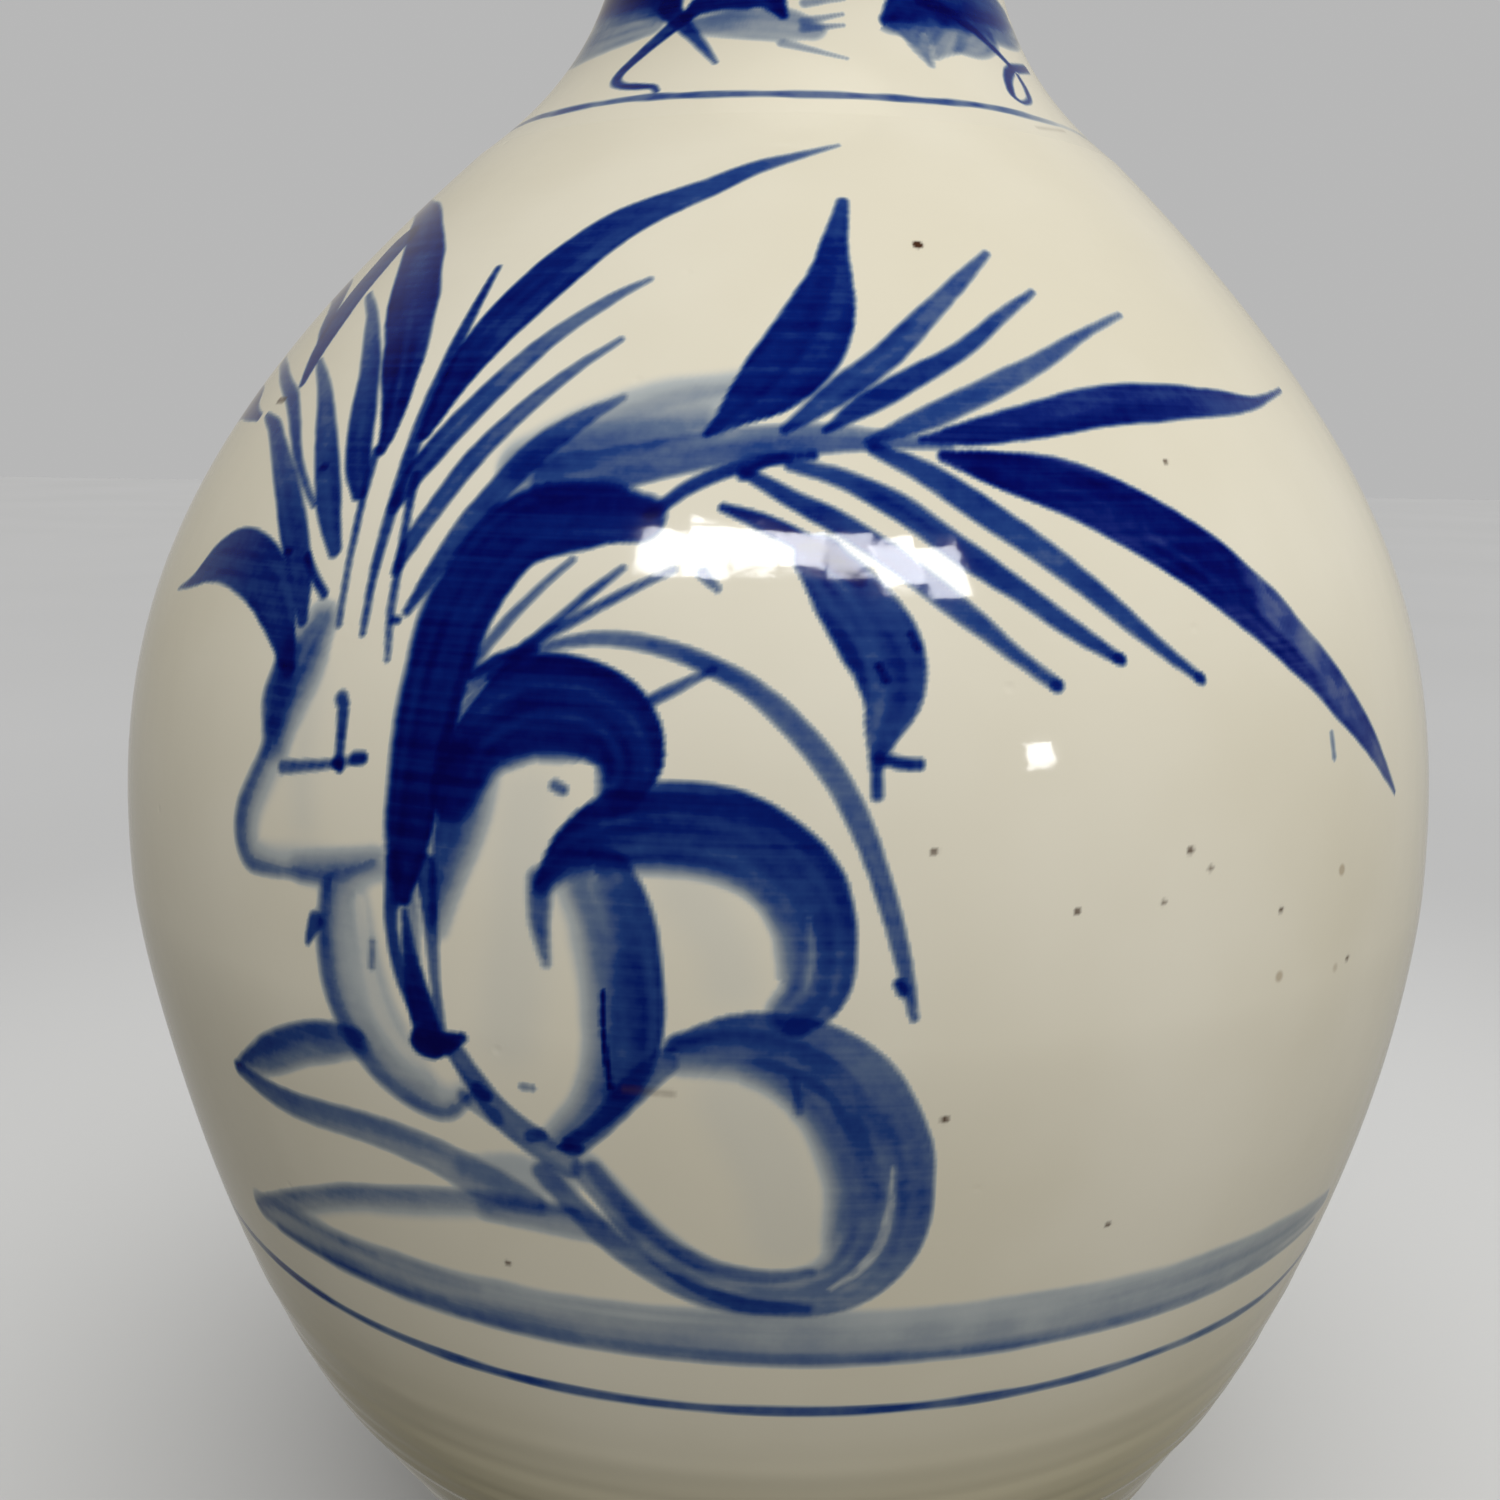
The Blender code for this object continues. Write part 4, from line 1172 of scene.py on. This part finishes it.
def knob_piece():
    """The turned knob: crowned top, rounded shoulder, a cut groove and the spigot below."""
    tip, top, radius = KNOB_LOW.z / MM, KNOB_HIGH.z / MM, KNOB_HIGH.x / MM
    seat = tip + SPIGOT_LENGTH
    groove = seat + GROOVE_UP
    centre = (radius - KNOB_ROUND, top - KNOB_CROWN - KNOB_ROUND)
    foot = radius - KNOB_FOOT_ROUND
    outline = [(TIP_RADIUS, tip), (SPIGOT_RADIUS - 0.8, tip), (SPIGOT_RADIUS, tip + 0.8), (SPIGOT_RADIUS, seat)]
    outline += [(foot, seat)]
    outline += arc((foot, seat + KNOB_FOOT_ROUND), KNOB_FOOT_ROUND, -90, 0, 8)
    outline += [(radius, groove - 0.3)]
    for share in np.linspace(0, 1, 9):
        depth = GROOVE_DEPTH * math.sin(math.pi * share)
        outline.append((radius - depth, groove + GROOVE_WIDTH * share))
    outline += [(radius, groove + GROOVE_WIDTH + 0.3)]
    outline += arc(centre, KNOB_ROUND, 0, 84, 20)
    for step in range(1, 12):
        out = 1 - step / 11
        outline.append((max(centre[0] * out, TIP_RADIUS), top - KNOB_CROWN * out**2))
    return stopper_mesh("turned_wooden_knob", outline, 0.35)


def stopper_mesh(name, outline, step):
    return grid_mesh(name, spaced(outline, step), np.arange(0, 360, 1.5), [], sealed=True, leaning=False)


def stopper_pieces():
    for piece, node, slot, look in (
        (cork_piece(), "stopper_cork", "cork", cork_material()),
        (knob_piece(), "stopper_knob", "turned_wood", wood_material()),
    ):
        piece.data.materials.append(look)
        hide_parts(node)
        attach(piece, "stopper")


# The stage

# The camera, as fitted to the photo's outline and ring lines: metres, degrees, mm of lens
CAMERA_PLACE = Vector((0.0, -0.17936, 0.1364))
CAMERA_PITCH, CAMERA_ROLL = 12.15, 0.9
SENSOR, LENS, SHIFT = 36.0, 34.56, -0.0223

# The room's light: the way it comes from, its level and how fast it falls off away from there, how
# bright it looks mirrored in the glaze before and behind the pot, and what the floor throws up behind
LIGHT_FROM = Vector((0.33, -0.395, 0.865))
ROOM_LEVEL, ROOM_SLOPE = 0.17, 1.76
MIRRORED_FRONT, MIRRORED_BACK = 0.03, 0.50
BACK_BOUNCE, LEAST_BOUNCE = 0.8, 0.03
WALL_LEVEL = 0.475
WARM_SHADE, WHITE = (1.0, 0.955, 0.84, 1.0), (1, 1, 1, 1)

# The window as it is mirrored: each bar's azimuth, and the low and high end of the pane after it. The
# last one only gives where the window ends
WINDOW = (
    (-9.5, 126.2, 129.5), (-6.4, 126.1, 130.0), (-3.3, 126.5, 129.6), (-0.3, 126.7, 129.3),
    (2.8, 126.4, 129.1), (5.9, 125.3, 128.9), (8.9, 124.6, 128.6), (12.0, 124.6, 128.3),
)
PANE_POWER = (46, 60)
LAMP_POWER = 50
LAMP_DISTANCE = 1.0
FLOOR_REACH = 4.0


def add_camera():
    data = bpy.data.cameras.new("camera")
    data.sensor_width = SENSOR
    data.lens = LENS
    data.shift_x = SHIFT
    data.clip_start = 0.01
    camera = in_scene(bpy.data.objects.new("camera", data))
    pitch = Matrix.Rotation(math.radians(90 - CAMERA_PITCH), 4, "X")
    roll = Matrix.Rotation(math.radians(CAMERA_ROLL), 4, "Z")
    camera.matrix_world = Matrix.Translation(CAMERA_PLACE) @ (pitch @ roll)
    bpy.context.scene.camera = camera


def area_light(name, place, target, size, power):
    data = bpy.data.lights.new(name, "AREA")
    data.shape = "RECTANGLE"
    data.size, data.size_y = size
    data.energy = power
    light = in_scene(bpy.data.objects.new(name, data))
    away = (place - target).to_track_quat("Z", "Y")
    light.matrix_world = Matrix.Translation(place) @ away.to_matrix().to_4x4()
    return light


def mirror_place(azimuth, height):
    """Where a light stands so that the camera sees it mirrored at this spot of the skin, and the spot."""
    line = curve((BELLY_RADIUS, BELLY_HEIGHT), (SHOULDER_RADIUS, SEAM_HEIGHT), UPPER_FULLNESS, 200)
    radii, heights = np.array(line).T
    step = 0.5
    below, radius, above = np.interp((height - step, height, height + step), heights, radii)
    slope = (above - below) / (2 * step)
    turn = math.radians(azimuth)
    normal = Vector((math.sin(turn), -math.cos(turn), -slope)).normalized()
    spot = Vector((radius * math.sin(turn), -radius * math.cos(turn), height)) * MM
    ray = (spot - CAMERA_PLACE).normalized()
    out = ray - 2 * ray.dot(normal) * normal
    return spot + out * LAMP_DISTANCE, spot


def add_room():
    """A soft room: brightest up in front and to the right, dark below. Its mirror image is dimmer."""
    world = bpy.data.worlds.new("soft_room")
    room = Nodes(world, "Generated")
    _, behind, up = room.parts()
    facing = room.vector("DOT_PRODUCT", room.place, LIGHT_FROM.normalized())
    level = room.math("MULTIPLY_ADD", facing, ROOM_SLOPE, ROOM_LEVEL)
    dimmed = room.math("MULTIPLY", level, room.span(up, -0.5, 0.25, 0.05, 1.0))
    far = room.span(behind, 0.5, 1.0, 0.0, BACK_BOUNCE)
    bounce = room.math("MULTIPLY_ADD", far, room.span(up, -0.1, 0.1, 1.0, 0.0), LEAST_BOUNCE)
    light = room.math("MAXIMUM", dimmed, bounce)
    mirrored = room.span(behind, 0.3, 1.0, MIRRORED_FRONT, MIRRORED_BACK)

    rays = room.add("LightPath").outputs
    lit = room.mix_levels(rays["Is Glossy Ray"], light, mirrored)
    seen = room.mix_levels(rays["Is Camera Ray"], lit, WALL_LEVEL)
    white = room.math("ADD", light, rays["Is Camera Ray"], clamp=True)
    background = room.tree.nodes["Background"]
    room.give(seen, background.inputs["Strength"])
    room.give(room.mix(white, WARM_SHADE, WHITE), background.inputs["Color"])
    bpy.context.scene.world = world


def window_pane(name, left, right, low, high, power):
    """A light that the camera sees mirrored on the glaze between these azimuths and heights. It has this
    much power for each square metre."""
    corners = [mirror_place(azimuth, height)[0] for azimuth in (left, right) for height in (low, high)]
    middle, spot = mirror_place((left + right) / 2, (low + high) / 2)
    across = ((corners[2] + corners[3]) - (corners[0] + corners[1])).length / 2
    up = ((corners[1] + corners[3]) - (corners[0] + corners[2])).length / 2
    light = area_light(name, middle, spot, (across, up), power * across * up)
    light.visible_diffuse = False


def add_lights():
    add_room()
    for pane, ((left, low, high), after) in enumerate(zip(WINDOW, WINDOW[1:])):
        window_pane(f"window_{pane}", left, after[0] - 0.05, low, high, PANE_POWER[pane % 2])
    window_pane("lamp", 15.0, 16.8, 112.1, 113.8, LAMP_POWER)


def add_floor():
    mesh = bpy.data.meshes.new("floor")
    near, far = -FLOOR_REACH, FLOOR_REACH
    mesh.from_pydata([(near, near, 0), (far, near, 0), (far, far, 0), (near, far, 0)], [], [(0, 1, 2, 3)])
    mesh.materials.append(floor_material())
    floor = in_scene(bpy.data.objects.new("floor", mesh))
    floor.visible_diffuse = False
    floor.visible_glossy = False


add_camera()
glazed_pieces()
stopper_pieces()
add_lights()
add_floor()
bpy.context.scene.view_settings.view_transform = "Standard"
